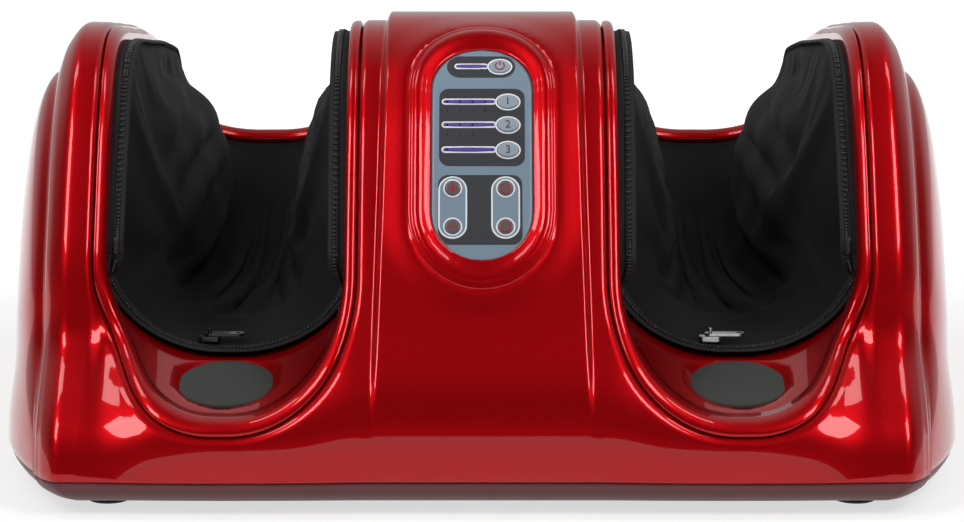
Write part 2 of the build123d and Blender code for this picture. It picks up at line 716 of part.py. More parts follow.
def chassis():
    """Bent steel deck with two tall inner plates and two low outer plates."""
    low = TRAY_FLOOR_Z
    top = TRAY_FLOOR_Z + DECK_THICK
    frame = block((-DECK_X, DECK_FRONT_Y, low), (DECK_X, DECK_REAR_Y, top))
    for x in (-FRAME_X, FRAME_X):
        frame += block((x - FRAME_THICK / 2, FRAME_FRONT_Y, low), (x + FRAME_THICK / 2, FRAME_REAR_Y, FRAME_TOP_Z))
    for x in (-OUTER_FRAME_X, OUTER_FRAME_X):
        front = SHAFT_Y - OUTER_FRAME_HALF
        rear = SHAFT_Y + OUTER_FRAME_HALF
        frame += block((x - FRAME_THICK / 2, front, low), (x + FRAME_THICK / 2, rear, OUTER_FRAME_TOP_Z))
        frame += block((min(x, 0), front, low), (max(x, 0), rear, top))
    for x in paddle_places():
        for y in lug_places():
            frame += block((x - PADDLE_BARREL_RADIUS, y - PADDLE_LUG_THICK / 2, low),
                           (x + PADDLE_BARREL_RADIUS, y + PADDLE_LUG_THICK / 2, PADDLE_FOOT_Z + PADDLE_BARREL_RADIUS))
        frame -= along_y(x, PADDLE_FOOT_Z, SHAFT_Y, DEPTH, PADDLE_PIN_RADIUS + RUNNING)
    frame -= cross_rod(-WIDTH, WIDTH, SHAFT_Y, SHAFT_Z, BEARING_RADIUS + RUNNING)
    frame -= cross_rod(-2 * FRAME_X, 2 * FRAME_X, SHAFT_Y, LAY_Z, LAY_BEARING_RADIUS + RUNNING)
    frame -= cross_rod(-2 * FRAME_X, 0, MOTOR_Y, MOTOR_Z, MOTOR_RADIUS / 3)
    frame -= cross_rod(0, 2 * FRAME_X, MOTOR_Y, MOTOR_Z, LARGE_PULLEY_RADIUS)
    for x, y in deck_screw_places():
        frame -= upright_rod(x, y, 0, 2 * top, SCREW_HOLE)
    return frame


def deck_screw_places():
    """Screws that hold the deck to the tray floor."""
    x = DECK_X - 4 * SCREW_HEAD
    y = DECK_REAR_Y - 2 * SCREW_HEAD
    return [(sx * x, sy) for sx in (-1, 1) for sy in (y, DECK_FRONT_Y + 2 * SCREW_HEAD)]


def along_y(x, z, middle_y, length, radius):
    return Pos(x, middle_y, z) * Rot(90, 0, 0) * Cylinder(radius, length)


def paddle_places():
    return [-PADDLE_OUTER_X, -PADDLE_INNER_X, PADDLE_INNER_X, PADDLE_OUTER_X]


def lug_places():
    reach = PADDLE_BARREL_HALF + PADDLE_LUG_THICK / 2 + SEAM_GAP
    return [SHAFT_Y - reach, SHAFT_Y + reach]


def paddle_blade(thick):
    """The upper plate of a paddle, in the side view, about x = 0."""
    height = PADDLE_TOP_Z - PADDLE_LOW_Z
    outline = RectangleRounded(PADDLE_REAR_Y - PADDLE_FRONT_Y, height, PADDLE_CORNER)
    middle = ((PADDLE_REAR_Y + PADDLE_FRONT_Y) / 2, (PADDLE_TOP_Z + PADDLE_LOW_Z) / 2)
    return extrude(Plane.YZ * Pos(*middle) * outline, amount=thick / 2, both=True)


def kneading_paddle(x):
    half = PADDLE_THICK / 2
    paddle = Pos(x, 0, 0) * paddle_blade(PADDLE_THICK)
    neck_y = PADDLE_NECK / 2
    paddle += block((x - half, SHAFT_Y - neck_y, SHAFT_Z), (x + half, SHAFT_Y + neck_y, PADDLE_LOW_Z + PADDLE_CORNER))
    paddle += cross_rod(x - half, x + half, SHAFT_Y, SHAFT_Z, PADDLE_RING_RADIUS)
    foot_y = PADDLE_BARREL_HALF
    paddle += block((x - half, SHAFT_Y - foot_y, PADDLE_FOOT_Z), (x + half, SHAFT_Y + foot_y, SHAFT_Z))
    paddle += along_y(x, PADDLE_FOOT_Z, SHAFT_Y, 2 * PADDLE_BARREL_HALF, PADDLE_BARREL_RADIUS)
    paddle -= cross_rod(x - PADDLE_THICK, x + PADDLE_THICK, SHAFT_Y, SHAFT_Z, HUB_RADIUS + HUB_GAP)
    return paddle - along_y(x, PADDLE_FOOT_Z, SHAFT_Y, DEPTH, PADDLE_PIN_RADIUS + RUNNING)


def paddle_face(x, facing):
    """The ribbed rubber skin on the side of a paddle that faces the leg."""
    surface = x + facing * (PADDLE_THICK + PADDLE_FACE_THICK) / 2
    return Pos(surface, 0, 0) * paddle_blade(PADDLE_FACE_THICK)


def skewed_hubs():
    hubs = Part()
    for x in paddle_places():
        hub = Rot(0, 90, 0) * Cylinder(HUB_RADIUS, HUB_LENGTH)
        hubs += Pos(x, SHAFT_Y, SHAFT_Z) * Rot(0, 0, HUB_SKEW) * hub
    return hubs - cross_rod(-WIDTH, WIDTH, SHAFT_Y, SHAFT_Z, SHAFT_RADIUS + RUNNING)


def sole_rollers():
    """Ribbed rubber rollers under the soles, one in each chamber."""
    low = CHAMBER_MIDDLE_X - ROLLER_LENGTH / 2
    pitch = ROLLER_LENGTH / ROLLER_RIBS
    roller = cross_rod(low, low + ROLLER_LENGTH, SHAFT_Y, SHAFT_Z, ROLLER_RADIUS - ROLLER_GROOVE)
    for rib in range(ROLLER_RIBS):
        start = low + rib * pitch + pitch / 4
        disc = cross_rod(start, start + pitch / 2, SHAFT_Y, SHAFT_Z, ROLLER_RADIUS)
        roller += fillet(disc.edges().filter_by(GeomType.CIRCLE), ROLLER_GROOVE / 3)
    roller -= cross_rod(0, WIDTH, SHAFT_Y, SHAFT_Z, SHAFT_RADIUS + RUNNING)
    return both(roller)


def shaft_bearings():
    """Flanged bushes for the cross shaft, in the four chassis plates."""
    bushes = Part()
    for x, width in ((FRAME_X, FRAME_THICK), (OUTER_FRAME_X, FRAME_THICK)):
        bush = cross_rod(x - width / 2, x + width, SHAFT_Y, SHAFT_Z, BEARING_RADIUS)
        bushes += bush + cross_rod(x + width / 2, x + width * 1.2, SHAFT_Y, SHAFT_Z, BEARING_FLANGE)
    bushes -= cross_rod(0, WIDTH, SHAFT_Y, SHAFT_Z, SHAFT_RADIUS + RUNNING)
    return both(bushes)


def lay_bearings():
    bush = cross_rod(FRAME_X - FRAME_THICK / 2, FRAME_X + FRAME_THICK, SHAFT_Y, LAY_Z, LAY_BEARING_RADIUS)
    bush += cross_rod(FRAME_X + FRAME_THICK / 2, FRAME_X + FRAME_THICK, SHAFT_Y, LAY_Z, BEARING_RADIUS)
    bush -= cross_rod(0, WIDTH, SHAFT_Y, LAY_Z, LAY_RADIUS + RUNNING)
    return both(bush)


MOTOR_LOW_X = -FRAME_X + FRAME_THICK / 2
MOTOR_HIGH_X = MOTOR_LOW_X + MOTOR_LENGTH


def motor_casing():
    can = cross_rod(MOTOR_LOW_X, MOTOR_HIGH_X, MOTOR_Y, MOTOR_Z, MOTOR_RADIUS)
    can = fillet(can.edges().filter_by(GeomType.CIRCLE), MOTOR_SKIN)
    can -= cross_rod(MOTOR_LOW_X + MOTOR_SKIN, MOTOR_HIGH_X - MOTOR_SKIN, MOTOR_Y, MOTOR_Z, MOTOR_RADIUS - MOTOR_SKIN)
    return can - cross_rod(0, WIDTH, MOTOR_Y, MOTOR_Z, MOTOR_SHAFT_RADIUS + RUNNING)


def motor_magnets():
    """Two curved magnets inside the can."""
    low = MOTOR_LOW_X + 2 * MOTOR_SKIN
    high = MOTOR_HIGH_X - 2 * MOTOR_SKIN
    ring = cross_rod(low, high, MOTOR_Y, MOTOR_Z, MOTOR_RADIUS - MOTOR_SKIN)
    ring -= cross_rod(low, high, MOTOR_Y, MOTOR_Z, ROTOR_RADIUS + MOTOR_SKIN)
    gap = block((low, MOTOR_Y - MOTOR_RADIUS, MOTOR_Z - MOTOR_RADIUS / 4), (high, MOTOR_Y + MOTOR_RADIUS, MOTOR_Z + MOTOR_RADIUS / 4))
    return ring - gap


def motor_rotor():
    low = MOTOR_LOW_X + 3 * MOTOR_SKIN
    high = MOTOR_HIGH_X - 3 * MOTOR_SKIN
    rotor = cross_rod(low, high, MOTOR_Y, MOTOR_Z, ROTOR_RADIUS)
    for turn in range(0, 360, 60):
        slot = block((low, -MOTOR_SKIN, ROTOR_RADIUS * 0.6), (high, MOTOR_SKIN, 2 * ROTOR_RADIUS))
        rotor -= Pos(0, MOTOR_Y, MOTOR_Z) * Rot(turn, 0, 0) * slot
    end = PULLEY_X + BELT_WIDTH
    return rotor + cross_rod(low, end, MOTOR_Y, MOTOR_Z, MOTOR_SHAFT_RADIUS)


# Vibration motors under the platforms
BUZZER_Y = -140.0
BUZZER_Z = 25.0
BUZZER_RADIUS = 11.0
BUZZER_LOW_X = 84.0
BUZZER_LENGTH = 30.0
BUZZER_SHAFT_RADIUS = 1.6
WEIGHT_RADIUS = 10.0
WEIGHT_LENGTH = 9.0
WEIGHT_GAP = 2.0


def vibration_motor():
    end = BUZZER_LOW_X + BUZZER_LENGTH
    can = cross_rod(BUZZER_LOW_X, end, BUZZER_Y, BUZZER_Z, BUZZER_RADIUS)
    can = fillet(can.edges().filter_by(GeomType.CIRCLE), MOTOR_SKIN)
    return can - cross_rod(end - WEIGHT_LENGTH, WIDTH, BUZZER_Y, BUZZER_Z, BUZZER_SHAFT_RADIUS + RUNNING)


def vibration_cradle():
    """The saddle on the tray floor that clamps a vibration motor."""
    low = BUZZER_LOW_X + BUZZER_LENGTH / 4
    high = BUZZER_LOW_X + 3 * BUZZER_LENGTH / 4
    outer = BUZZER_RADIUS + WALL
    saddle = block((low, BUZZER_Y - outer, TRAY_FLOOR_Z), (high, BUZZER_Y + outer, BUZZER_Z))
    saddle += cross_rod(low, high, BUZZER_Y, BUZZER_Z, outer)
    return saddle - cross_rod(low, high, BUZZER_Y, BUZZER_Z, BUZZER_RADIUS + RUNNING)


def eccentric_weight():
    """A half disc on the vibration motor's shaft."""
    start = BUZZER_LOW_X + BUZZER_LENGTH + WEIGHT_GAP
    weight = cross_rod(start, start + WEIGHT_LENGTH, BUZZER_Y, BUZZER_Z, WEIGHT_RADIUS)
    weight -= block((start, BUZZER_Y - 2 * WEIGHT_RADIUS, BUZZER_Z + 2 * BUZZER_SHAFT_RADIUS),
                    (start + WEIGHT_LENGTH, BUZZER_Y + 2 * WEIGHT_RADIUS, BUZZER_Z + 2 * WEIGHT_RADIUS))
    return weight + cross_rod(start + WEIGHT_GAP - WEIGHT_LENGTH, start + WEIGHT_LENGTH, BUZZER_Y, BUZZER_Z, BUZZER_SHAFT_RADIUS)


# Electronics
SUPPLY_FRONT_Y = 92.0
SUPPLY_REAR_Y = 172.0
SUPPLY_HALF_WIDTH = 30.0
SUPPLY_BOARD_Z = 16.0
CORE_WIDTH = 40.0
CORE_DEPTH = 28.0
CORE_HEIGHT = 32.0
CORE_Y = 118.0
COIL_WIDTH = 22.0
COIL_SPREAD = 5.0


def power_board():
    return block((-SUPPLY_HALF_WIDTH, SUPPLY_FRONT_Y, SUPPLY_BOARD_Z),
                 (SUPPLY_HALF_WIDTH, SUPPLY_REAR_Y, SUPPLY_BOARD_Z + BOARD_THICK))


def board_posts():
    """Four standoffs on the tray floor for the power board, and the inlet's angle."""
    posts = inlet_bracket()
    for x in (-1, 1):
        for y in (SUPPLY_FRONT_Y + BOSS_RADIUS, SUPPLY_REAR_Y - BOSS_RADIUS):
            posts += upright_rod(x * (SUPPLY_HALF_WIDTH - BOSS_RADIUS), y, FOOT_LIFT, SUPPLY_BOARD_Z, WALL)
    return posts


def transformer_core():
    base = SUPPLY_BOARD_Z + BOARD_THICK
    core = block((-CORE_WIDTH / 2, CORE_Y - CORE_DEPTH / 2, base), (CORE_WIDTH / 2, CORE_Y + CORE_DEPTH / 2, base + CORE_HEIGHT))
    for side in (-1, 1):
        window = Pos(side * CORE_WIDTH * 0.27, CORE_Y, base + CORE_HEIGHT / 2)
        core -= window * Box(CORE_WIDTH * 0.22, 2 * CORE_DEPTH, CORE_HEIGHT * 0.6)
    return core


def transformer_coil():
    """The winding round the core's middle limb, standing proud front and back."""
    base = SUPPLY_BOARD_Z + BOARD_THICK + CORE_HEIGHT / 2
    height = CORE_HEIGHT * 0.6 - 2 * SEAM_GAP
    limb = CORE_WIDTH * 0.32
    coil = Pos(0, CORE_Y, base) * Box(CORE_WIDTH * 0.74, CORE_DEPTH + 2 * COIL_SPREAD, height)
    coil -= Pos(0, CORE_Y, base) * Box(limb + 2 * SEAM_GAP, CORE_DEPTH + 2 * SEAM_GAP, 2 * CORE_HEIGHT)
    return coil


def mains_inlet():
    """The recessed socket at the back, with its three blades."""
    rear = HALF_DEPTH - 2 * WALL
    low = (-INLET_WIDTH / 2, rear - INLET_DEPTH, INLET_Z - INLET_HEIGHT / 2)
    high = (INLET_WIDTH / 2, rear, INLET_Z + INLET_HEIGHT / 2)
    inlet = block(low, high)
    margin = WALL
    inlet -= block((low[0] + margin, low[1] + margin, low[2] + margin), (high[0] - margin, high[1] + margin, high[2] - margin))
    for x, z in ((-INLET_WIDTH / 5, 0), (INLET_WIDTH / 5, 0), (0, INLET_HEIGHT / 6)):
        inlet += block((x - RUNNING - 1 * SCREW_HEAD / 3, low[1] + margin / 2, INLET_Z + z - SCREW_RADIUS),
                       (x + RUNNING + 1 * SCREW_HEAD / 3, high[1] - margin, INLET_Z + z + SCREW_RADIUS))
    return inlet


def inlet_bracket():
    """The angle that carries the inlet from the tray floor."""
    rear = HALF_DEPTH - 2 * WALL
    top = INLET_Z - INLET_HEIGHT / 2
    bracket = block((-INLET_WIDTH / 2, rear - INLET_DEPTH, top - DECK_THICK), (INLET_WIDTH / 2, rear - 2 * WALL, top))
    return bracket + block((-INLET_WIDTH / 2, rear - INLET_DEPTH, FOOT_LIFT), (INLET_WIDTH / 2, rear - INLET_DEPTH + DECK_THICK, top))


# Control panel pieces
def panel_overlay():
    sheet = skin_band(-OVERLAY_RECESS, -OVERLAY_RECESS + OVERLAY_THICK)
    sheet &= panel_cut(stadium(OVERLAY_WIDTH, OVERLAY_LENGTH))
    for outline in key_outlines(KEY_GAP).values():
        sheet -= panel_cut(outline)
    for outline in window_outlines(RUNNING):
        sheet -= panel_cut(outline)
    return sheet


def panel_bezel():
    ring = panel_cut(stadium(BEZEL_WIDTH, BEZEL_LENGTH))
    ring -= panel_cut(stadium(OVERLAY_WIDTH + 2 * SEAM_GAP, OVERLAY_LENGTH + 2 * SEAM_GAP))
    return skin_band(-OVERLAY_RECESS, BEZEL_HEIGHT) & ring


def lamp_windows():
    band = skin_band(-OVERLAY_RECESS, -OVERLAY_RECESS + OVERLAY_THICK)
    windows = Part()
    for outline in window_outlines(0):
        windows += band & panel_cut(outline)
    return windows


SWITCH_TOP = -BOARD_DEPTH + SWITCH_HEIGHT


def panel_key(name):
    """A key cap in the overlay on a stem that reaches its switch."""
    outline = key_outlines(0)[name]
    place = key_places()[name]
    cap = skin_band(-OVERLAY_RECESS + KEY_TRAVEL, KEY_RISE) & panel_cut(outline)
    stem = panel_prism(Pos(*place) * Circle(STEM_RADIUS), SWITCH_TOP + KEY_TRAVEL + SEAM_GAP, PANEL_REACH / 2)
    return cap + (stem & skin_band(-PANEL_REACH, -OVERLAY_RECESS + 2 * KEY_TRAVEL))


def control_board():
    board = panel_prism(RectangleRounded(BOARD_WIDTH, BOARD_LENGTH, WALL), -BOARD_DEPTH - BOARD_THICK, -BOARD_DEPTH)
    for x, y in board_screw_places():
        board -= panel_cut(Pos(x, y) * Circle(SCREW_HOLE))
    return board


def board_screw_places():
    x = BOARD_WIDTH / 2 - 2 * WALL
    y = BOARD_LENGTH / 2 - 2 * WALL
    return [(sx * x, sy * y) for sx in (-1, 1) for sy in (-1, 1)]


def key_switches():
    """One small push switch on the board under each key."""
    switches = Part()
    for place in key_places().values():
        body = panel_prism(Pos(*place) * Rectangle(SWITCH_SIDE, SWITCH_SIDE), -BOARD_DEPTH, SWITCH_TOP - KEY_TRAVEL - SEAM_GAP)
        switches += body
    return switches


def board_standoffs():
    """Pillars from the column's inside to the control board."""
    posts = Part()
    for x, y in board_screw_places():
        posts += panel_prism(Pos(x, y) * Circle(WALL), -BOARD_DEPTH, PANEL_REACH / 2)
        posts -= panel_prism(Pos(x, y) * Circle(SCREW_RADIUS), -BOARD_DEPTH, -BOARD_DEPTH / 2)
    return posts


def slider_body(x):
    """The zip slider, astride the track behind the platform."""
    middle_y = PLATFORM_REAR_Y - SEAM_GAP
    low = PLATFORM_REAR_Z + 4 * SOFT_GAP + ZIP_WIDTH
    slider = block((x - SLIDER_LENGTH / 2, middle_y - SLIDER_WIDTH / 2, low),
                   (x + SLIDER_LENGTH / 2, middle_y + SLIDER_WIDTH / 2, low + 2 * PULL_THICK))
    slider = fillet(slider.edges().filter_by(Axis.Z), SLIDER_WIDTH / 3)
    return slider + upright_rod(x, middle_y, low, low + 5 * PULL_THICK, PULL_PIN)


def slider_pull(x, facing):
    """The pull tab that turns on the slider's pin."""
    middle_y = PLATFORM_REAR_Y - SEAM_GAP
    low = PLATFORM_REAR_Z + 4 * SOFT_GAP + ZIP_WIDTH + 2 * PULL_THICK + SEAM_GAP
    half = PULL_WIDTH / 2
    tab = extrude(SlotOverall(PULL_LENGTH, PULL_WIDTH), amount=PULL_THICK)
    tab = Pos(facing * (PULL_LENGTH / 2 - half), 0, 0) * tab
    tab -= upright_rod(0, 0, -OVERRUN, OVERRUN, PULL_PIN + RUNNING)
    tab -= upright_rod(facing * (PULL_LENGTH - 2 * half), 0, -OVERRUN, OVERRUN, half / 2)
    return Pos(x, middle_y, low) * tab



os.makedirs("parts", exist_ok=True)

outer = fan_solid(0)
save("upper_housing", upper_housing(outer, both(chamber_channel(0, 0))))
save("base_tray", base_tray())
save_pair("chamber_rim", chamber_rim())
save_pair("zip_track", zip_track())
save_pair("leg_liner", leg_liner())
save_pair("foot_pad", foot_pad())
SLIDER_X = CHAMBER_MIDDLE_X - SLIDER_TRAVEL / 2
save("right_zip_slider", slider_body(SLIDER_X))
save("right_zip_pull", slider_pull(SLIDER_X, 1))
save("left_zip_slider", slider_body(-SLIDER_X - SLIDER_TRAVEL))
save("left_zip_pull", slider_pull(-SLIDER_X - SLIDER_TRAVEL, 1))

save("panel_bezel", panel_bezel())
save("panel_overlay", panel_overlay())
save("lamp_windows", lamp_windows())
for name in key_places():
    save(name + "_key", panel_key(name))
save("control_board", control_board())
save("key_switches", key_switches())

save("chassis", chassis())
save("cross_shaft", cross_rod(-SHAFT_END_X, SHAFT_END_X, SHAFT_Y, SHAFT_Z, SHAFT_RADIUS))
save("shaft_bearings", shaft_bearings() + lay_bearings())
save("skewed_hubs", skewed_hubs())
save("sole_rollers", sole_rollers())
save("drive_gear", drive_gear())
save("lay_shaft", cross_rod(-FRAME_X - FRAME_THICK, FRAME_X + FRAME_THICK, SHAFT_Y, LAY_Z, LAY_RADIUS))
save("lay_pinion", lay_pinion())
save("lay_pulley", Pos(PULLEY_X, SHAFT_Y, LAY_Z) * flat_pulley(LARGE_PULLEY_RADIUS, LAY_RADIUS + RUNNING))
save("motor_pulley", Pos(PULLEY_X, MOTOR_Y, MOTOR_Z) * flat_pulley(SMALL_PULLEY_RADIUS, MOTOR_SHAFT_RADIUS + RUNNING))
save("drive_belt", drive_belt())
save("motor_casing", motor_casing())
save("motor_magnets", motor_magnets())
save("motor_rotor", motor_rotor())
for side, sign in (("right", 1), ("left", -1)):
    for place, x in (("outer", sign * PADDLE_OUTER_X), ("inner", sign * PADDLE_INNER_X)):
        facing = sign * (1 if place == "inner" else -1)
        save(side + "_" + place + "_paddle", kneading_paddle(x))
        save(side + "_" + place + "_paddle_face", paddle_face(x, facing))
pin_length = 2 * (PADDLE_BARREL_HALF + PADDLE_LUG_THICK + SEAM_GAP)
pins = [along_y(x, PADDLE_FOOT_Z, SHAFT_Y, pin_length, PADDLE_PIN_RADIUS) for x in paddle_places()]
save("paddle_pins", Part() + pins)
save("vibration_motors", both(vibration_motor()))
save("vibration_cradles", both(vibration_cradle()))
save_pair("eccentric_weight", eccentric_weight())

save("power_board", power_board())
save("transformer_core", transformer_core())
save("transformer_coil", transformer_coil())
save("mains_inlet", mains_inlet())
save("rubber_feet", Part() + [rubber_foot(x, y) for x, y in foot_places()])
screws = [screw(x, y, FOOT_LIFT + SCREW_HEAD_HEIGHT, PARTING_Z) for x, y in BOSSES]
screws += [screw(x, y, FOOT_LIFT / 2, FOOT_LIFT) for x, y in foot_places()]
screws += [panel_prism(Pos(x, y) * Circle(SCREW_RADIUS - SEAM_GAP / 3), -BOARD_DEPTH - 2 * BOARD_THICK, -BOARD_DEPTH + SCREW_HEAD)
            + panel_prism(Pos(x, y) * Circle(SCREW_HEAD), -BOARD_DEPTH - 2 * BOARD_THICK, -BOARD_DEPTH - BOARD_THICK)
            for x, y in board_screw_places()]
save("casing_screws", Part() + screws)
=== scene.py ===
import json
import math
from functools import lru_cache

import bmesh
import bpy
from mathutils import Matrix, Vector

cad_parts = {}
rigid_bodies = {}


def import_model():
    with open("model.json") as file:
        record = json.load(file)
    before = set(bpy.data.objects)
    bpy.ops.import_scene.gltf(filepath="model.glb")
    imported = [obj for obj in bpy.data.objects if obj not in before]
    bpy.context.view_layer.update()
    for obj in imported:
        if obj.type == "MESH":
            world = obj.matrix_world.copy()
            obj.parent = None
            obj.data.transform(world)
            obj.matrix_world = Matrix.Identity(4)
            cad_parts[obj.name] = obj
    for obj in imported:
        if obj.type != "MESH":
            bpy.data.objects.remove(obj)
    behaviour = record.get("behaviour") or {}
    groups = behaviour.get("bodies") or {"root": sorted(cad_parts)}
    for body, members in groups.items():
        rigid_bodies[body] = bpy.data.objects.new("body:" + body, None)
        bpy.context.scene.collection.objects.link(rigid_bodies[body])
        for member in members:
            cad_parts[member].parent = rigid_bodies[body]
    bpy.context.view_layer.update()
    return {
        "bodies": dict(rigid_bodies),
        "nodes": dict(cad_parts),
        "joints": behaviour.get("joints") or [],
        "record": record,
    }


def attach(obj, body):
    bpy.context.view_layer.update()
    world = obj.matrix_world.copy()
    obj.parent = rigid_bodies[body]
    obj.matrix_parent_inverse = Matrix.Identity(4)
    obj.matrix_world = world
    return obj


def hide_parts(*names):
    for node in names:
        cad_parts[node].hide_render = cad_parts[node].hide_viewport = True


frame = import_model()

# Lengths are millimetres and angles are degrees until a point goes into a mesh.
MM = 0.001
WIDTH = 445.0
DEPTH = 410.0
HEIGHT = 205.0
PARTING_Z = 16.0
HALF_WIDTH = WIDTH / 2
HALF_DEPTH = DEPTH / 2

ARM_OUTER_X = 195.0
ARM_INNER_X = 167.0
ARM_EDGE_DROP = 8.0
CHAMBER_INNER_X = 55.0
CHAMBER_OUTER_X = 173.0
CHAMBER_MIDDLE_X = (CHAMBER_INNER_X + CHAMBER_OUTER_X) / 2
CHAMBER_HALF = (CHAMBER_OUTER_X - CHAMBER_INNER_X) / 2
CHAMBER_CORNER = 55.0
CREST_BOTTOM_X = 47.0
CREST_TOP_X = 42.0
CREST_STEP = 4.3
CREST_FLANK = 3.2
SHOULDER_X = 55.0
SHELL_WALL = 2.4
EDGE_ROLL = 3.0
ROLL_INNER_X = CHAMBER_INNER_X - EDGE_ROLL
ROLL_OUTER_X = CHAMBER_OUTER_X + EDGE_ROLL
INLET_HALF_X = 14.1
INLET_LOW_Z = 29.4
INLET_HIGH_Z = 50.6
INLET_SHELL_Y = 150.0

# The housing is a fan of cross sections about a line along X at the parting
# height. Each share is a reach from that line against a guiding ellipse.
FAN_ANGLES = (0, 6, 12, 18, 27, 37, 47, 57, 65, 75, 83, 90, 98, 107, 121, 133, 145, 157, 169, 180)
COLUMN_SHARES = (0.985, 0.99, 0.98, 0.953, 0.942, 0.962, 1.015, 1.066, 1.074, 1.024,
                 0.98, 0.959, 0.953, 0.962, 1.01, 1.055, 1.03, 0.99, 0.99, 0.995)
ARM_SHARES = (0.985, 0.958, 0.892, 0.838, 0.858, 0.894, 0.945, 1.006, 1.032, 0.996,
              0.958, 0.938, 0.929, 0.938, 0.983, 1.03, 0.995, 0.965, 0.962, 0.97)
MIDDLE_SHARES = (0.99, 0.99, 0.95, 0.92, 0.92, 0.94, 0.98, 1.03, 1.04, 1.005,
                 0.965, 0.945, 0.94, 0.95, 1.0, 1.04, 1.01, 0.995, 0.995, 1.0)
FLANK_SHARES = (0.905, 0.88, 0.821, 0.771, 0.7865, 0.815, 0.857, 0.9, 0.9165, 0.8755,
                0.837, 0.817, 0.808, 0.822, 0.877, 0.938, 0.915, 0.887, 0.882, 0.89)
CREST_SHARES = (0, 0, 0.3, 0.65, 1, 1, 1, 1, 1, 1, 1, 1, 1, 1, 1, 1, 1, 0.8, 0.5, 0.3)
EDGE_DROP_SHARES = (1.9, 1.8, 1.5, 1.3, 1.3, 1.4, 1.6, 2.0, 2.2, 2.3,
                    2.3, 2.3, 2.3, 2.2, 2.0, 1.7, 1.5, 1.6, 1.8, 1.9)
RIM_DROP_SHARES = (0, 0.05, 0.3, 0.7, 1, 1, 1, 1, 1, 1, 1, 1, 1, 1, 1, 1, 0.7, 0.3, 0.1, 0)
CORNER_SHARES = (1, 0.7, 0.3, 0, 0, 0, 0, 0, 0, 0, 0, 0, 0, 0, 0, 0, 0, 0.3, 0.7, 1)
CORNER_POWER = 3.5

PLATFORM_REAR_Y = -126.0
# Side profile of the chamber bottom, as (y, z) from front to back
CHAMBER_FLOOR = ((-210.0, 32.9), (-192.0, 37.4), (-159.0, 45.7), (-126.0, 54.0), (-50.4, 62.0),
                 (72.0, 64.7), (135.0, 85.9), (180.0, 115.0), (210.0, 131.5))

# Control panel: a plane on the column's front, with its own (x, v) places
PANEL_Y = -137.4
PANEL_Z = 150.0
PANEL_TILT = 56.9
OVERLAY_WIDTH = 45.4
OVERLAY_LENGTH = 104.0
OVERLAY_TOP = -0.3
BEZEL_WIDTH = 66.0
BEZEL_LENGTH = 132.0
MODE_KEY_SIZE = (9.4, 6.7)
ROUND_KEY_SIZE = (6.6, 6.6)
# Each key as (x, v, width, height) and each lamp window as (x, v, length)
KEYS = {
    "power": (8.0, 41.9, 9.3, 7.1),
    "mode_1": (11.5, 23.0, *MODE_KEY_SIZE), "mode_2": (11.5, 11.5, *MODE_KEY_SIZE),
    "mode_3": (11.5, -0.5, *MODE_KEY_SIZE), "speed_up": (-12.9, -18.4, *ROUND_KEY_SIZE),
    "speed_down": (-12.9, -36.2, *ROUND_KEY_SIZE), "direction_left": (10.4, -18.4, *ROUND_KEY_SIZE),
    "direction_right": (10.4, -36.2, *ROUND_KEY_SIZE)}
LAMP_HEIGHT = 2.4
LAMP_WINDOWS = ((-4.7, 42.2, 14.6), (-5.8, 23.2, 23.6), (-5.8, 11.7, 23.6), (-5.8, -0.3, 23.6))
# Dots in the lamp windows, as (x, v, number from the left)
LAMP_DOTS = [(x - length / 2 + 2.2 + 5.6 * i, v, i)
             for (x, v, length), count in zip(LAMP_WINDOWS, (0, 4, 3, 1)) for i in range(count)]

PAD_RADIUS = 22.0
PAD_Y = -150.0


# Curves

def cubic_through(places, values):
    """A natural cubic spline, as a function of place."""
    count = len(places)
    gaps = [places[i + 1] - places[i] for i in range(count - 1)]
    slopes = [(values[i + 1] - values[i]) / gaps[i] for i in range(count - 1)]
    ratios, sums, bends = [0.0], [0.0], [0.0] * count
    for i in range(1, count - 1):
        pivot = 2 * (gaps[i - 1] + gaps[i]) - gaps[i - 1] * ratios[-1]
        sums.append((6 * (slopes[i] - slopes[i - 1]) - gaps[i - 1] * sums[-1]) / pivot)
        ratios.append(gaps[i] / pivot)
    for i in range(count - 2, 0, -1):
        bends[i] = sums[i] - ratios[i] * bends[i + 1]

    def value(place):
        i = 0
        while i < count - 2 and place > places[i + 1]:
            i += 1
        before = place - places[i]
        after = places[i + 1] - place
        wide = gaps[i]
        ends = (values[i] / wide - bends[i] * wide / 6) * after
        ends += (values[i + 1] / wide - bends[i + 1] * wide / 6) * before
        return ends + (bends[i] * after ** 3 + bends[i + 1] * before ** 3) / (6 * wide)

    return value


def steady_curve(points, place):
    """A curve through points (place, value) that never overshoots them."""
    count = len(points)
    i = 0
    while i < count - 2 and place > points[i + 1][0]:
        i += 1
    tangents = []
    for k in (i, i + 1):
        if k in (0, count - 1):
            near = 0 if k == 0 else count - 2
            rise = points[near + 1][1] - points[near][1]
            tangents.append(rise / (points[near + 1][0] - points[near][0]))
            continue
        left = (points[k][1] - points[k - 1][1]) / (points[k][0] - points[k - 1][0])
        right = (points[k + 1][1] - points[k][1]) / (points[k + 1][0] - points[k][0])
        tangents.append(2 * left * right / (left + right) if left * right > 0 else 0.0)
    (x0, y0), (x1, y1) = points[i], points[i + 1]
    wide = x1 - x0
    t = (place - x0) / wide
    return (y0 * (1 + 2 * t) * (1 - t) ** 2 + y1 * t * t * (3 - 2 * t)
            + wide * t * (1 - t) * (tangents[0] * (1 - t) - tangents[1] * t))


def ease(value):
    value = min(max(value, 0.0), 1.0)
    return value * value * (3 - 2 * value)


def mix(a, b, share):
    return a + (b - a) * share


def steps(low, high, count):
    return [mix(low, high, i / count) for i in range(count + 1)]


def root(function, low, high):
    """Where a function that is negative at low turns positive before high."""
    for _ in range(30):
        middle = (low + high) / 2
        if function(middle) < 0:
            low = middle
        else:
            high = middle
    return (low + high) / 2


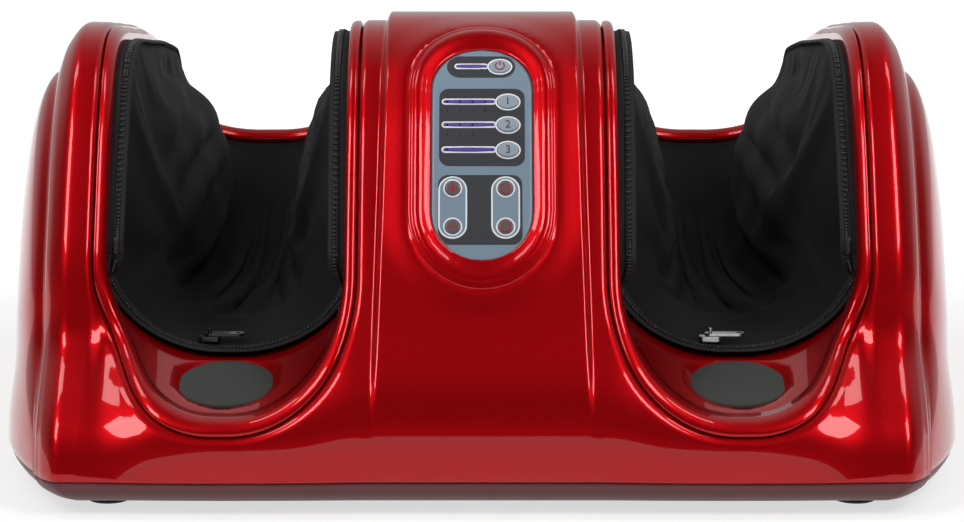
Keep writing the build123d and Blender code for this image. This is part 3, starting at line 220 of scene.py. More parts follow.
# Outside form of the housing

def fan_curves(**tables):
    return {name: cubic_through(FAN_ANGLES, shares) for name, shares in tables.items()}


FAN = fan_curves(column=COLUMN_SHARES, arm=ARM_SHARES, middle=MIDDLE_SHARES, flank=FLANK_SHARES)
FAN_LIMITS = fan_curves(crest=CREST_SHARES, edge=EDGE_DROP_SHARES, rim=RIM_DROP_SHARES, corner=CORNER_SHARES)


@lru_cache(maxsize=None)
def reaches(angle):
    """The named reaches and drops of the cross section at a fan angle."""
    turn = math.radians(angle)
    rise = HEIGHT - PARTING_Z
    size = HALF_DEPTH * rise / math.hypot(rise * math.cos(turn), HALF_DEPTH * math.sin(turn))
    at = {name: size * curve(angle) for name, curve in FAN.items()}
    at.update({name: max(curve(angle), 0) for name, curve in FAN_LIMITS.items()})
    height = min(max(math.sin(turn), 0), 1)
    at["crest_x"] = mix(CREST_BOTTOM_X, CREST_TOP_X, height)
    at["shoulder"] = at["column"] - CREST_STEP * min(at["crest"], 1)
    edge_drop = ARM_EDGE_DROP * at["edge"]
    rim_drop = ARM_EDGE_DROP * at["rim"]
    arm_in = at["arm"] - 0.5 * rim_drop
    wide = ARM_OUTER_X - ARM_INNER_X
    at["crown"] = (
        (SHOULDER_X - 8, at["shoulder"]),
        (SHOULDER_X, at["shoulder"]),
        (mix(SHOULDER_X, CHAMBER_MIDDLE_X, 0.5), mix(at["shoulder"], at["middle"], 0.72)),
        (CHAMBER_MIDDLE_X, at["middle"]),
        (mix(CHAMBER_MIDDLE_X, ARM_INNER_X, 0.5), mix(arm_in, at["middle"], 0.72)),
        (ARM_INNER_X, arm_in),
        (ARM_INNER_X + 0.25 * wide, at["arm"] - 0.06 * rim_drop),
        (ARM_OUTER_X - 0.42 * wide, at["arm"]),
        (ARM_OUTER_X - 0.13 * wide, at["arm"] - 0.45 * edge_drop),
        (ARM_OUTER_X, at["arm"] - edge_drop),
    )
    return at


def reach_at(x, angle):
    """Reach of the housing between the column's shoulder and the arm's outer edge."""
    return steady_curve(reaches(angle)["crown"], x)


def fan_point(x, reach, angle):
    turn = math.radians(angle)
    return Vector((x, -reach * math.cos(turn), PARTING_Z + reach * math.sin(turn)))


@lru_cache(maxsize=None)
def arm_run(angle):
    """Points (x, reach) from the chamber's edge over the arm and down the flank to the pole."""
    at = reaches(angle)
    run = [(x, reach_at(x, angle)) for x in steps(ROLL_OUTER_X, ARM_OUTER_X - 1.6, 14)]
    top = reach_at(ARM_OUTER_X - 1.6, angle)
    foot = min(at["flank"], top - 0.5)
    fall = top - foot
    run += [(ARM_OUTER_X - 0.8, top - 0.16 * fall), (ARM_OUTER_X - 0.25, top - 0.4 * fall),
            (ARM_OUTER_X, top - 0.66 * fall), (ARM_OUTER_X + 0.4, foot + 0.14 * fall),
            (ARM_OUTER_X + 1.1, foot + 0.03 * fall)]
    swell = HALF_WIDTH - ARM_OUTER_X
    for turn in steps(3.5, 88.5, 20):
        share = math.cos(math.radians(turn))
        oval = math.sin(math.radians(turn))
        square = 1 - share ** CORNER_POWER
        run.append((ARM_OUTER_X + swell * mix(oval, square, min(at["corner"], 1)), foot * share))
    run.append((HALF_WIDTH, 0.0))
    return run


@lru_cache(maxsize=None)
def column_run(angle):
    """Points (x, reach) from the middle of the column to the chamber's inner edge."""
    at = reaches(angle)
    crest = at["crest_x"]
    places = steps(0, INLET_HALF_X, 4) + steps(INLET_HALF_X, crest - 2, 10)[1:]
    places += [crest + mix(-1.4, CREST_FLANK + 0.6, i / 9) for i in range(10)]
    places += [crest + CREST_FLANK + 1, ROLL_INNER_X]
    step = at["column"] - at["shoulder"]
    return [(x, at["column"] - step * ease((x - crest + 0.5) / CREST_FLANK)) for x in places]


floor_curve = cubic_through(*zip(*CHAMBER_FLOOR))


def corner_rise(x, inset):
    """How far the chamber's round corner lifts its bottom at x."""
    corner = CHAMBER_CORNER - inset
    out = abs(x - CHAMBER_MIDDLE_X) - (CHAMBER_HALF - inset - corner)
    if out <= 0:
        return 0.0
    return corner - math.sqrt(max(corner ** 2 - out ** 2, 0))


@lru_cache(maxsize=None)
def edge_angle(x, inset, depth, rear):
    """The fan angle at which the chamber's bottom meets the skin, at the front or the rear."""
    lift = corner_rise(x, inset) + inset

    def above(angle):
        point = fan_point(x, reach_at(x, angle) - depth, angle)
        return point.z - floor_curve(point.y) - lift

    if rear:
        return 180 - root(lambda back: above(180 - back), 0, 80)
    return root(above, 0, 80)


def skin_edge(x, rear):
    """The fan angle at which the skin ends in the chamber's rolled edge."""
    return edge_angle(x, -EDGE_ROLL, 0.0, rear)


SIDE_STEPS = 110
TURN_STEPS = 48
LOOP = 2 * (SIDE_STEPS + TURN_STEPS)


def opening_point(k, inset, depth):
    """A point on the right chamber's edge, inset into the opening and sunk into the skin.

    k runs round the loop: up and over the outer side, along the rear, back over
    the inner side, and along the front."""
    k = k % LOOP
    back = k > SIDE_STEPS + TURN_STEPS
    half = CHAMBER_HALF - inset
    if back:
        k -= SIDE_STEPS + TURN_STEPS
        half = -half
    if k <= SIDE_STEPS:
        x = CHAMBER_MIDDLE_X + half
        start, end = (edge_angle(x, inset, depth, rear) for rear in (back, not back))
        angle = mix(start, end, k / SIDE_STEPS)
    else:
        x = CHAMBER_MIDDLE_X + half * math.cos(math.pi * (k - SIDE_STEPS) / TURN_STEPS)
        angle = edge_angle(x, inset, depth, not back)
    return fan_point(x, reach_at(x, angle) - depth, angle)


# Meshes

def grid(mesh, columns, rows, place):
    """Adds a net of quads whose corners are place(column, row)."""
    made = bmesh.ops.create_grid(mesh, x_segments=len(columns) - 1, y_segments=len(rows) - 1, size=0.5)
    for vert in made["verts"]:
        column = columns[round((vert.co.x + 0.5) * (len(columns) - 1))]
        row = rows[round((vert.co.y + 0.5) * (len(rows) - 1))]
        vert.co = Vector(place(column, row)) * MM
    return made["verts"]


def linked(name, data):
    """A new object in the scene."""
    made = bpy.data.objects.new(name, data)
    bpy.context.scene.collection.objects.link(made)
    return made


def piece(name, mesh, material, body="housing", mirrored=False):
    """Turns a bmesh into an object that rides on a body."""
    bmesh.ops.remove_doubles(mesh, verts=mesh.verts, dist=0.02 * MM)
    if mirrored:
        bmesh.ops.scale(mesh, vec=(-1, 1, 1), verts=mesh.verts)
    bmesh.ops.recalc_face_normals(mesh, faces=mesh.faces)
    data = bpy.data.meshes.new(name)
    mesh.to_mesh(data)
    mesh.free()
    made = linked(name, data)
    for face in data.polygons:
        face.use_smooth = True
    data.materials.append(material)
    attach(made, body)
    return made


def outward(made, test):
    """Turns an open surface over where its faces look away from the test direction."""
    votes = sum(1 if face.normal.dot(test(face.center)) > 0 else -1 for face in made.data.polygons)
    if votes < 0:
        mesh = bmesh.new()
        mesh.from_mesh(made.data)
        bmesh.ops.reverse_faces(mesh, faces=mesh.faces)
        mesh.to_mesh(made.data)
        mesh.free()


def thicken(made, wall):
    """A wall behind an open surface, with its edges closed."""
    solid = made.modifiers.new("wall", "SOLIDIFY")
    solid.thickness = wall * MM
    solid.offset = -1


# Materials

def colour(code):
    """An sRGB hex colour as linear red, green, blue and alpha."""
    parts = [int(code[i:i + 2], 16) / 255 for i in (0, 2, 4)]
    linear = [part / 12.92 if part <= 0.04045 else ((part + 0.055) / 1.055) ** 2.4 for part in parts]
    return (*linear, 1.0)


def add(tree, kind, sockets=(), **settings):
    """A shader node with its settings, and the values or links of its sockets."""
    made = tree.nodes.new("ShaderNode" + kind)
    for name, value in settings.items():
        setattr(made, name, value)
    for socket, value in dict(sockets).items():
        if isinstance(value, bpy.types.NodeSocket):
            tree.links.new(value, made.inputs[socket])
        else:
            made.inputs[socket].default_value = value
    return made


def new_material(name):
    """An empty material, its nodes, and the place on the object as a texture coordinate."""
    material = bpy.data.materials.new(name)
    material.use_nodes = True
    tree = material.node_tree
    tree.nodes.clear()
    return material, tree, add(tree, "TexCoord").outputs["Object"]


def noise(tree, place, size, detail):
    """A noise whose features have that size in millimetres."""
    made = add(tree, "TexNoise", {"Vector": place, "Scale": 1 / (size * MM), "Detail": detail})
    return made.outputs["Fac"]


def blend(tree, factor, shades):
    """A colour between two shades."""
    return add(tree, "Mix", {"Factor": factor, "A": colour(shades[0]), "B": colour(shades[1])},
               data_type="RGBA").outputs["Result"]


def bump(tree, height, strength, depth):
    made = add(tree, "Bump", {"Height": height, "Strength": strength, "Distance": depth * MM})
    return made.outputs["Normal"]


def principled(tree, values):
    add(tree, "OutputMaterial", {"Surface": add(tree, "BsdfPrincipled", values).outputs["BSDF"]})


PATCH_SIZE = 40
GRAIN_STRENGTH = 0.35


def moulded(name, shades, rough, grain, depth, **sockets):
    """A material with a fine grain in its surface, slight shade changes and worn gloss."""
    material, tree, place = new_material(name)
    fine = noise(tree, place, grain, 3.0)
    worn = add(tree, "MapRange", {"Value": fine, "To Min": rough[0], "To Max": rough[1]})
    principled(tree, {
        "Base Color": blend(tree, noise(tree, place, PATCH_SIZE, 2.0), shades),
        "Roughness": worn.outputs["Result"], "Normal": bump(tree, fine, GRAIN_STRENGTH, depth),
        **{key.replace("_", " "): value for key, value in sockets.items()}})
    return material


def candy_paint():
    """A tinted metallic lacquer under a clear coat: deep red, bright where it faces light."""
    material, tree, place = new_material("candy_red_lacquer")
    peel = bump(tree, noise(tree, place, 5, 1.0), 0.05, 0.05)
    principled(tree, {
        "Base Color": blend(tree, noise(tree, place, 0.5, 2.0), ("A80008", "C2040F")),
        "Metallic": 0.72, "Roughness": 0.4, "Specular IOR Level": 0.1, "Normal": peel,
        "Coat Weight": 1.0, "Coat Roughness": 0.04, "Coat IOR": 1.36, "Coat Normal": peel})
    return material


# Length in millimetres of one radian of the knit's wave, so its ribs are 10 mm apart
RIB_RADIAN = 1.6
# The wave texture turns by this many radians along one unit of its scale
WAVE_RADIANS = 20


def woven_fabric():
    """Black polyester knit: shallow broad ribs both ways, and a soft sheen."""
    material, tree, place = new_material("black_polyester_knit")
    rib = {"Vector": place, "Scale": 1 / (RIB_RADIAN * MM) / WAVE_RADIANS, "Distortion": 0.6,
           "Detail": 1.0, "Detail Scale": 2.0}
    ribs = [add(tree, "TexWave", rib, bands_direction=way).outputs["Fac"] for way in ("X", "Z")]
    weave = add(tree, "Math", {0: ribs[0], 1: ribs[1]}, operation="MAXIMUM").outputs["Value"]
    principled(tree, {
        "Base Color": blend(tree, noise(tree, place, 30, 4.0), ("07080A", "0E0F11")), "Roughness": 0.8,
        "Normal": bump(tree, weave, 0.25, 0.15), "Specular IOR Level": 0.3, "Sheen Weight": 0.06,
        "Sheen Roughness": 0.4, "Sheen Tint": colour("8A8F98")})
    return material


def wear(nodes, material):
    """Gives the named CAD nodes their material."""
    for name in nodes.split():
        data = frame["nodes"][name].data
        data.materials.clear()
        data.materials.append(material)


# Grain size and depth of everything that is printed film
PRINTED = (0.7, 0.01)

RED = candy_paint()
FABRIC = woven_fabric()
# The tray's pinkish grey is a painted reflection: it copies the white floor mirrored in the red lacquer
# along the base, and is not the colour of a grey plastic.
TRAY_PAINTED_REFLECTION = moulded("tray_painted_floor_reflection", ("70383B", "7C4245"), (0.38, 0.5), 0.8, 0.02)
PAD_RUBBER = moulded("charcoal_rubber_moulded", ("2F312F", "3A3D3A"), (0.72, 0.86), 0.9, 0.08)
ZIP_NYLON = moulded("black_nylon_coil", ("0E0F10", "1B1C1E"), (0.3, 0.45), 0.6, 0.03)
ZIP_TAPE = moulded("black_nylon_tape", ("0F1012", "17181A"), (0.75, 0.9), 0.7, 0.12)
FILM = moulded("blue_grey_polycarbonate_film", ("768A9C", "8093A4"), (0.32, 0.42), *PRINTED)
PRINT_DARK = moulded("charcoal_screen_print", ("34353A", "3C3D43"), (0.35, 0.45), *PRINTED)
PRINT_WHITE = moulded("white_screen_print", ("E8EAEE", "F2F3F6"), (0.35, 0.45), *PRINTED)
PRINT_RED = moulded("red_screen_print", ("8E2F33", "9C383B"), (0.35, 0.45), *PRINTED)
KEY_FILM = moulded("pale_key_film", ("919EAA", "9BA7B2"), (0.3, 0.4), *PRINTED)
KEY_DARK = moulded("dark_key_film", ("5E5358", "675B5F"), (0.3, 0.4), *PRINTED)
LAMP = moulded("violet_lamp_window", ("57489A", "63549F"), (0.2, 0.3), *PRINTED, Coat_Weight=0.3)
LAMP_DOT = moulded("smoked_lamp_dot", ("26203F", "2E274A"), (0.2, 0.3), *PRINTED)

PADDLES = [side + "_" + place + "_paddle" for side in ("left", "right") for place in ("outer", "inner")]
wear("base_tray", TRAY_PAINTED_REFLECTION)
# CAD nodes, then name, shades, roughness, grain size, grain depth, metal and clear coat of their material
for nodes, *look, metal, coat in (
        ("rubber_feet", "black_rubber_moulded", ("141414", "1E1E1E"), (0.7, 0.85), 1.0, 0.08, 0, 0),
        ("left_zip_slider left_zip_pull", "black_painted_zinc",
         ("0A0A0B", "161617"), (0.25, 0.4), 2.0, 0.02, 0.3, 0.4),
        ("right_zip_slider right_zip_pull", "cast_zinc_bright",
         ("B8BABD", "CDCFD2"), (0.18, 0.34), 1.5, 0.02, 1, 0),
        ("control_board power_board", "green_solder_mask",
         ("15482A", "1C5A33"), (0.3, 0.42), 1.2, 0.03, 0, 0),
        ("key_switches mains_inlet", "black_phenolic_moulded",
         ("16171A", "202226"), (0.4, 0.55), 0.8, 0.03, 0, 0),
        ("casing_screws", "zinc_plated_steel", ("9FA2A6", "B6B9BD"), (0.25, 0.4), 1.2, 0.02, 1, 0),
        ("chassis", "galvanised_steel_sheet", ("8D9296", "A4A9AD"), (0.35, 0.55), 6.0, 0.02, 1, 0),
        ("shaft_bearings left_eccentric_weight right_eccentric_weight", "sintered_brass",
         ("A8823C", "BC9650"), (0.35, 0.5), 0.5, 0.03, 1, 0),
        ("paddle_pins cross_shaft lay_shaft", "ground_steel_bar",
         ("A9ACB0", "BFC2C6"), (0.15, 0.28), 0.8, 0.01, 1, 0),
        ("drive_belt", "neoprene_belt", ("161616", "202020"), (0.65, 0.8), 0.8, 0.06, 0, 0),
        ("motor_casing vibration_motors", "zinc_plated_motor_can",
         ("A2A5A8", "B9BCC0"), (0.22, 0.36), 3.0, 0.02, 1, 0),
        ("motor_magnets", "ferrite_magnet", ("2A2A2C", "363638"), (0.6, 0.75), 0.9, 0.05, 0, 0),
        ("skewed_hubs drive_gear lay_pinion lay_pulley motor_pulley", "white_acetal_moulded",
         ("DCDAD2", "E8E6DF"), (0.3, 0.42), 1.0, 0.02, 0, 0),
        ("sole_rollers " + " ".join(name + "_face" for name in PADDLES), "grey_rubber_roller",
         ("4A4C4E", "565859"), (0.65, 0.8), 1.0, 0.08, 0, 0),
        ("vibration_cradles " + " ".join(PADDLES), "white_abs_paddle",
         ("CFCFCB", "DADAD6"), (0.35, 0.5), 1.2, 0.03, 0, 0),
        ("transformer_coil", "enamelled_copper_wire", ("9C4B20", "B25A2A"), (0.3, 0.45), 0.6, 0.1, 0.8, 0),
        ("motor_rotor transformer_core", "stacked_core_steel",
         ("5C5F63", "6C6F73"), (0.4, 0.55), 0.5, 0.08, 0.9, 0)):
    wear(nodes, moulded(*look, Metallic=metal, Coat_Weight=coat))


# Housing shell

TUCK = 0.8
TUCK_FADE = 20
LOWEST_SHARE = 0.004
BAND_ROWS = 26
MOUND_RISE = 1.6
MOUND_WIDE = 13.0
SEAT_DEPTH = 2.6

panel_turn = math.radians(PANEL_TILT)
PANEL_UP = Vector((0, math.cos(panel_turn), math.sin(panel_turn)))
PANEL_OUT = Vector((0, -math.sin(panel_turn), math.cos(panel_turn)))
PANEL_ORIGIN = Vector((0, PANEL_Y, PANEL_Z))


def beyond_stadium(x, v, width, length):
    """Distance outside an upright stadium on the panel, negative inside it."""
    radius = width / 2
    straight = (length - width) / 2
    return math.hypot(x, max(abs(v) - straight, 0)) - radius


def panel_relief(point):
    """The low mound round the bezel, and the seat under it."""
    if point.y > 0:
        return 0.0
    v = (point - PANEL_ORIGIN).dot(PANEL_UP)
    beyond = beyond_stadium(point.x, v, BEZEL_WIDTH, BEZEL_LENGTH)
    mound = MOUND_RISE * (1 - ease(beyond / MOUND_WIDE))
    seat = (MOUND_RISE + SEAT_DEPTH) * ease((-beyond - 1.5) / 3)
    return mound - seat


def inlet_share(z):
    """The row share at which the rear of the column passes a height."""
    back = root(lambda turn: fan_point(0, column_run(180 - turn)[0][1], 180 - turn).z - z, 0, 60)
    return back / (180 - skin_edge(ROLL_INNER_X, True))


def shell_mesh():
    """The skin with its arms, column, bands before and behind the chambers, and rolled edges."""
    mesh = bmesh.new()
    front_shares = [LOWEST_SHARE] + steps(0, 1, BAND_ROWS)[1:]
    rear_shares = sorted(front_shares + [inlet_share(INLET_LOW_Z), inlet_share(INLET_HIGH_Z)])

    def rows(x):
        first, last = skin_edge(x, False), skin_edge(x, True)
        angles = [first * share for share in front_shares]
        angles += steps(first, last, SIDE_STEPS)[1:-1]
        angles += [180 - (180 - last) * share for share in reversed(rear_shares)]
        return [("tuck", 0.0)] + [("skin", angle) for angle in angles] + [("tuck", 180.0)]

    def tucked(x, reach, row):
        kind, angle = row
        if kind == "tuck":
            reach -= TUCK * min(1, reach / TUCK_FADE)
        return fan_point(x, reach, angle)

    for side in (1, -1):
        def arm_place(i, row, side=side):
            x, reach = arm_run(row[1])[i]
            return tucked(side * x, reach, row)

        def column_place(i, row, side=side):
            x, reach = column_run(row[1])[i]
            point = tucked(side * x, reach, row)
            return point + PANEL_OUT * panel_relief(point)

        grid(mesh, range(len(arm_run(0.0))), rows(ROLL_OUTER_X), arm_place)
        grid(mesh, range(len(column_run(0.0))), rows(ROLL_INNER_X), column_place)
        turns = [ROLL_INNER_X if i == TURN_STEPS else ROLL_OUTER_X if i == 0 else
                 CHAMBER_MIDDLE_X + (CHAMBER_HALF + EDGE_ROLL) * math.cos(math.pi * i / TURN_STEPS)
                 for i in range(TURN_STEPS + 1)]
        for rear, shares in ((False, front_shares), (True, rear_shares)):
            def band_place(x, share, side=side, rear=rear):
                limit = skin_edge(x, rear)
                kind, span = ("tuck", 0.0) if share == "tuck" else ("skin", share)
                angle = 180 - (180 - limit) * span if rear else limit * span
                return tucked(side * x, reach_at(x, angle), (kind, angle))

            grid(mesh, turns, ["tuck"] + shares, band_place)
        roll = [(EDGE_ROLL * (math.sin(math.radians(t)) - 1), EDGE_ROLL * (1 - math.cos(math.radians(t))))
                for t in steps(0, 90, 6)] + [(0.0, 6.0), (0.0, 11.0)]

        def roll_place(k, spot, side=side):
            point = opening_point(k, *spot)
            return (side * point.x, point.y, point.z)

        grid(mesh, range(LOOP + 1), roll, roll_place)
    bmesh.ops.remove_doubles(mesh, verts=mesh.verts, dist=0.03 * MM)
    socket = []
    for face in mesh.faces:
        middle = face.calc_center_median() / MM
        level = INLET_LOW_Z < middle.z < INLET_HIGH_Z
        if level and abs(middle.x) < INLET_HALF_X and middle.y > INLET_SHELL_Y:
            socket.append(face)
    bmesh.ops.delete(mesh, geom=socket, context="FACES")
    return mesh


def away_from_axis(point):
    return Vector((0, point.y, point.z - PARTING_Z * MM)) + Vector((point.x, 0, 0)) * 0.4


shell = piece("housing_shell", shell_mesh(), RED)
outward(shell, away_from_axis)
thicken(shell, SHELL_WALL)
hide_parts("upper_housing")

# Rows of the tray as (height, inset), closed in its middle
TRAY_ROWS = ((15.6, 0.6), (13.0, 1.2), (10.0, 3.0), (7.2, 6.5), (5.6, 10.0), (5.0, 14.0), (5.0, HALF_DEPTH))
TRAY_WALL = 1.8


def tray_line():
    """The housing's plan outline at the parting line, once round."""
    half = []
    for angle, way in ((0.0, -1), (180.0, 1)):
        run = list(column_run(angle))
        run += [(x, reach_at(x, angle)) for x in steps(ROLL_INNER_X, ROLL_OUTER_X, 30)[1:-1]]
        run = [(x, way * reach) for x, reach in run + arm_run(angle)]
        half += run if way < 0 else run[-2::-1]
    return half + [(-x, y) for x, y in reversed(half)]


def tray_mesh():
    mesh = bmesh.new()

    def place(spot, row):
        z, inset = row
        x = spot[0] * (1 - inset / HALF_WIDTH) * (inset < HALF_DEPTH)
        return (x, spot[1] * (1 - inset / HALF_DEPTH), z)

    grid(mesh, tray_line(), TRAY_ROWS, place)
    bmesh.ops.remove_doubles(mesh, verts=mesh.verts, dist=0.02 * MM)
    return mesh


# The base shell's colour is the painted floor reflection along the bottom of the housing.
tray = piece("base_shell", tray_mesh(), TRAY_PAINTED_REFLECTION)
outward(tray, lambda point: Vector((point.x, point.y, -0.02)))
thicken(tray, TRAY_WALL)
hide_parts("base_tray")


# Platforms, rims and pads

# The rim's section, as (inset into the opening, depth under the skin)
RIM_PROFILE = ((0.4, 8.5), (0.4, 3.0), (0.55, 1.8), (1.0, 0.9), (1.8, 0.45), (2.9, 0.32), (4.0, 0.45),
               (4.9, 0.95), (5.5, 1.8), (5.8, 3.0), (5.9, 5.0), (5.9, 8.5), (3.0, 8.8), (0.4, 8.5))
PLATFORM_SINK = 4.0
PLATFORM_COSINE = 0.97
PAD_SEAT_DEPTH = 2.4
# The pad's section, as (radius, height)
PAD_PROFILE = ((0, 1.35), (9, 1.3), (16, 1.15), (20, 0.9), (21.2, 0.6), (21.7, 0.1), (21.8, -0.8),
               (21.8, -1.8))


def platform_mesh():
    """The smooth tray between the lip and the zip, with its round corners and side walls."""
    mesh = bmesh.new()
    turns = [CHAMBER_HALF * math.cos(math.pi * i / 64) for i in range(65)]

    def place(across, share):
        x = CHAMBER_MIDDLE_X + across
        rise = corner_rise(x, 0.0)
        angle = edge_angle(x, 0.0, PLATFORM_SINK, False)
        front = fan_point(x, reach_at(x, angle) - PLATFORM_SINK, angle)
        y = mix(front.y, PLATFORM_REAR_Y + 10, share)
        return (x, y, floor_curve(y) + rise - pad_sink(x, y))

    grid(mesh, turns, steps(0, 1, 40), place)
    return mesh


def pad_sink(x, y):
    """The shallow round seat of the rubber pad."""
    away = math.hypot(x - CHAMBER_MIDDLE_X, (y - PAD_Y) / PLATFORM_COSINE)
    return PAD_SEAT_DEPTH * (1 - ease((away - PAD_RADIUS + 0.1) / 0.9))


def pad_mesh():
    """A thin disc with a soft edge, spun about its middle and laid on the slope."""
    mesh = bmesh.new()
    verts = [mesh.verts.new((r, 0, z)) for r, z in PAD_PROFILE]
    edges = [mesh.edges.new(pair) for pair in zip(verts, verts[1:])]
    bmesh.ops.spin(mesh, geom=verts + edges, axis=(0, 0, 1), cent=(0, 0, 0), steps=96, angle=math.tau,
                   use_merge=True)
    tilt = math.atan((floor_curve(PAD_Y + 20) - floor_curve(PAD_Y - 20)) / 40)
    for vert in mesh.verts:
        x, y, z = vert.co
        vert.co = Vector((CHAMBER_MIDDLE_X + x, PAD_Y + y * math.cos(tilt) - z * math.sin(tilt),
                          floor_curve(PAD_Y) + y * math.sin(tilt) + z * math.cos(tilt))) * MM
    return mesh


def rim_mesh():
    """The rounded ring that finishes the chamber's edge."""
    mesh = bmesh.new()
    grid(mesh, range(LOOP + 1), RIM_PROFILE, lambda k, spot: opening_point(k, *spot))
    return mesh


def facing_up(point):
    return Vector((0, -0.4, 1))


for side in ("right", "left"):
    left = side == "left"
    platform = piece(side + "_platform", platform_mesh(), RED, mirrored=left)
    outward(platform, facing_up)
    thicken(platform, SHELL_WALL)
    rim = piece(side + "_rim_ring", rim_mesh(), RED, mirrored=left)
    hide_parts(side + "_chamber_rim")
    pad = piece(side + "_sole_pad", pad_mesh(), PAD_RUBBER, mirrored=left)
    outward(pad, facing_up)
    thicken(pad, 0.8)
    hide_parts(side + "_foot_pad")


# Control panel

def column_front(v):
    """The point on the column's front line at a panel height, and its outward direction."""
    def front(angle):
        return fan_point(0, reaches(angle)["column"], angle)

    angle = root(lambda turn: (front(turn) - PANEL_ORIGIN).dot(PANEL_UP) - v, 8, 80)
    point = front(angle)
    ahead = front(angle + 0.5) - point
    return point, Vector((0, -ahead.z, ahead.y)).normalized()


# The column's front line at every millimetre of panel height
PANEL_LOW = -80
PANEL_HIGH = 80
PANEL_LINE = [column_front(v) for v in range(PANEL_LOW, PANEL_HIGH + 1)]


def panel_point(x, v, lift):
    """A place on the curved panel, lifted off the column's front."""
    place = v - PANEL_LOW
    i = min(max(int(place), 0), len(PANEL_LINE) - 2)
    share = place - i
    point = PANEL_LINE[i][0].lerp(PANEL_LINE[i + 1][0], share)
    out = PANEL_LINE[i][1].lerp(PANEL_LINE[i + 1][1], share).normalized()
    return Vector((x, 0, 0)) + point + out * lift


OUTLINE_STEP = 1.2


def rounded_outline(shape):
    """Points round an upright rounded box (x, v, width, height, corner)."""
    x, v, width, height, corner = shape
    corner = min(corner, width / 2, height / 2)
    half_x, half_v = width / 2 - corner, height / 2 - corner
    points = []
    for quarter, (sign_x, sign_v) in enumerate(((1, 1), (-1, 1), (-1, -1), (1, -1))):
        for angle in steps(90 * quarter, 90 * quarter + 90, 8):
            turn = math.radians(angle)
            points.append((x + sign_x * half_x + corner * math.cos(turn),
                           v + sign_v * half_v + corner * math.sin(turn)))
    return spaced(points)


def oval_outline(shape):
    x, v, width, height = shape
    turns = [math.tau * i / 48 for i in range(48)]
    return [(x + width / 2 * math.cos(turn), v + height / 2 * math.sin(turn)) for turn in turns]


def spaced(points):
    """The closed outline with its long runs divided and doubled points left out."""
    dense = []
    for i, (x0, v0) in enumerate(points):
        x1, v1 = points[(i + 1) % len(points)]
        run = math.hypot(x1 - x0, v1 - v0)
        if run > 0.01:
            parts = max(1, round(run / OUTLINE_STEP))
            dense += [(mix(x0, x1, part / parts), mix(v0, v1, part / parts)) for part in range(parts)]
    return dense


def normal_at(points, i):
    """The way out of a closed outline that runs anticlockwise."""
    x0, v0 = points[i - 1]
    x1, v1 = points[(i + 1) % len(points)]
    run = math.hypot(x1 - x0, v1 - v0)
    return (v1 - v0) / run, (x0 - x1) / run


def add_band(mesh, points, rows, clip=None):
    """A closed band along an outline; each row is (distance out, lift)."""
    def place(i, row):
        i = i % len(points)
        out_x, out_v = normal_at(points, i)
        x, v = points[i][0] + row[0] * out_x, points[i][1] + row[0] * out_v
        if clip:
            x, v = clip(x, v)
        return panel_point(x, v, row[1])

    grid(mesh, range(len(points) + 1), rows, place)


def box_half(shape, v):
    """Half width of a rounded box at a panel height."""
    corner = min(shape[4], shape[2] / 2, shape[3] / 2)
    end = max(abs(v - shape[1]) - (shape[3] / 2 - corner), 0)
    return shape[2] / 2 - corner + math.sqrt(max(corner ** 2 - end ** 2, 0.0))


def oval_half(shape, v):
    share = (v - shape[1]) / (shape[3] / 2)
    return shape[2] / 2 * math.sqrt(max(1 - share ** 2, 0.0))


def add_plate(mesh, shape, half, lift, dome=0.0, clip=None):
    """A thin plate that follows the panel's curve, with an optional low dome."""
    low = shape[1] - shape[3] / 2
    rows = [low + shape[3] * (1 - math.cos(math.pi * i / 28)) / 2 for i in range(29)]

    def place(across, v):
        x = shape[0] + across * half(shape, v)
        bulge = dome * (1 - across ** 2) * (1 - ((v - shape[1]) / (shape[3] / 2)) ** 2)
        if clip:
            x, v = clip(x, v)
        return panel_point(x, v, lift + bulge)

    grid(mesh, steps(-1, 1, 20), rows, place)


FILM_SHAPE = (0, 0, OVERLAY_WIDTH, OVERLAY_LENGTH, OVERLAY_WIDTH / 2)
FILM_STRAIGHT = (OVERLAY_LENGTH - OVERLAY_WIDTH) / 2
# The ring's section, as (distance out from the film, lift)
BEZEL_OUT = 10.3
BEZEL_PROFILE = ((-0.1, -1.0), (-0.1, 0.5), (0.3, 0.95), (1.0, 1.1), (2.2, 1.45), (3.6, 2.3), (5.0, 2.95),
                 (6.2, 3.0), (7.2, 2.7), (7.9, 2.2), (8.4, 1.95), (9.1, 2.0), (9.8, 1.8), (BEZEL_OUT, 1.2),
                 (BEZEL_OUT, -1.4), (5.0, -1.4), (-0.1, -1.0))


def bezel_mesh():
    """The lacquered ring round the overlay, with a crest near its outer edge."""
    mesh = bmesh.new()
    points = rounded_outline(FILM_SHAPE)
    longer = (BEZEL_LENGTH - OVERLAY_LENGTH - BEZEL_WIDTH + OVERLAY_WIDTH) / 2

    def place(i, spot):
        i = i % len(points)
        (x, v), (out_x, out_v) = points[i], normal_at(points, i)
        stretch = spot[0] / BEZEL_OUT * longer
        return panel_point(x + spot[0] * out_x, v + (spot[0] + stretch) * out_v, spot[1])

    grid(mesh, range(len(points) + 1), BEZEL_PROFILE, place)
    return mesh


def overlay_mesh():
    mesh = bmesh.new()
    rows = steps(-OVERLAY_LENGTH / 2, OVERLAY_LENGTH / 2, 80)

    def place(across, v):
        end = max(abs(v) - FILM_STRAIGHT, 0)
        half = math.sqrt(max((OVERLAY_WIDTH / 2) ** 2 - end ** 2, 0.01))
        return panel_point(across * half, v, OVERLAY_TOP)

    grid(mesh, steps(-1, 1, 24), rows, place)
    return mesh


bezel = piece("panel_bezel_ring", bezel_mesh(), RED)
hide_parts("panel_bezel")
overlay = piece("panel_film", overlay_mesh(), FILM)
outward(overlay, lambda point: PANEL_OUT)
thicken(overlay, 0.9)
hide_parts("panel_overlay")

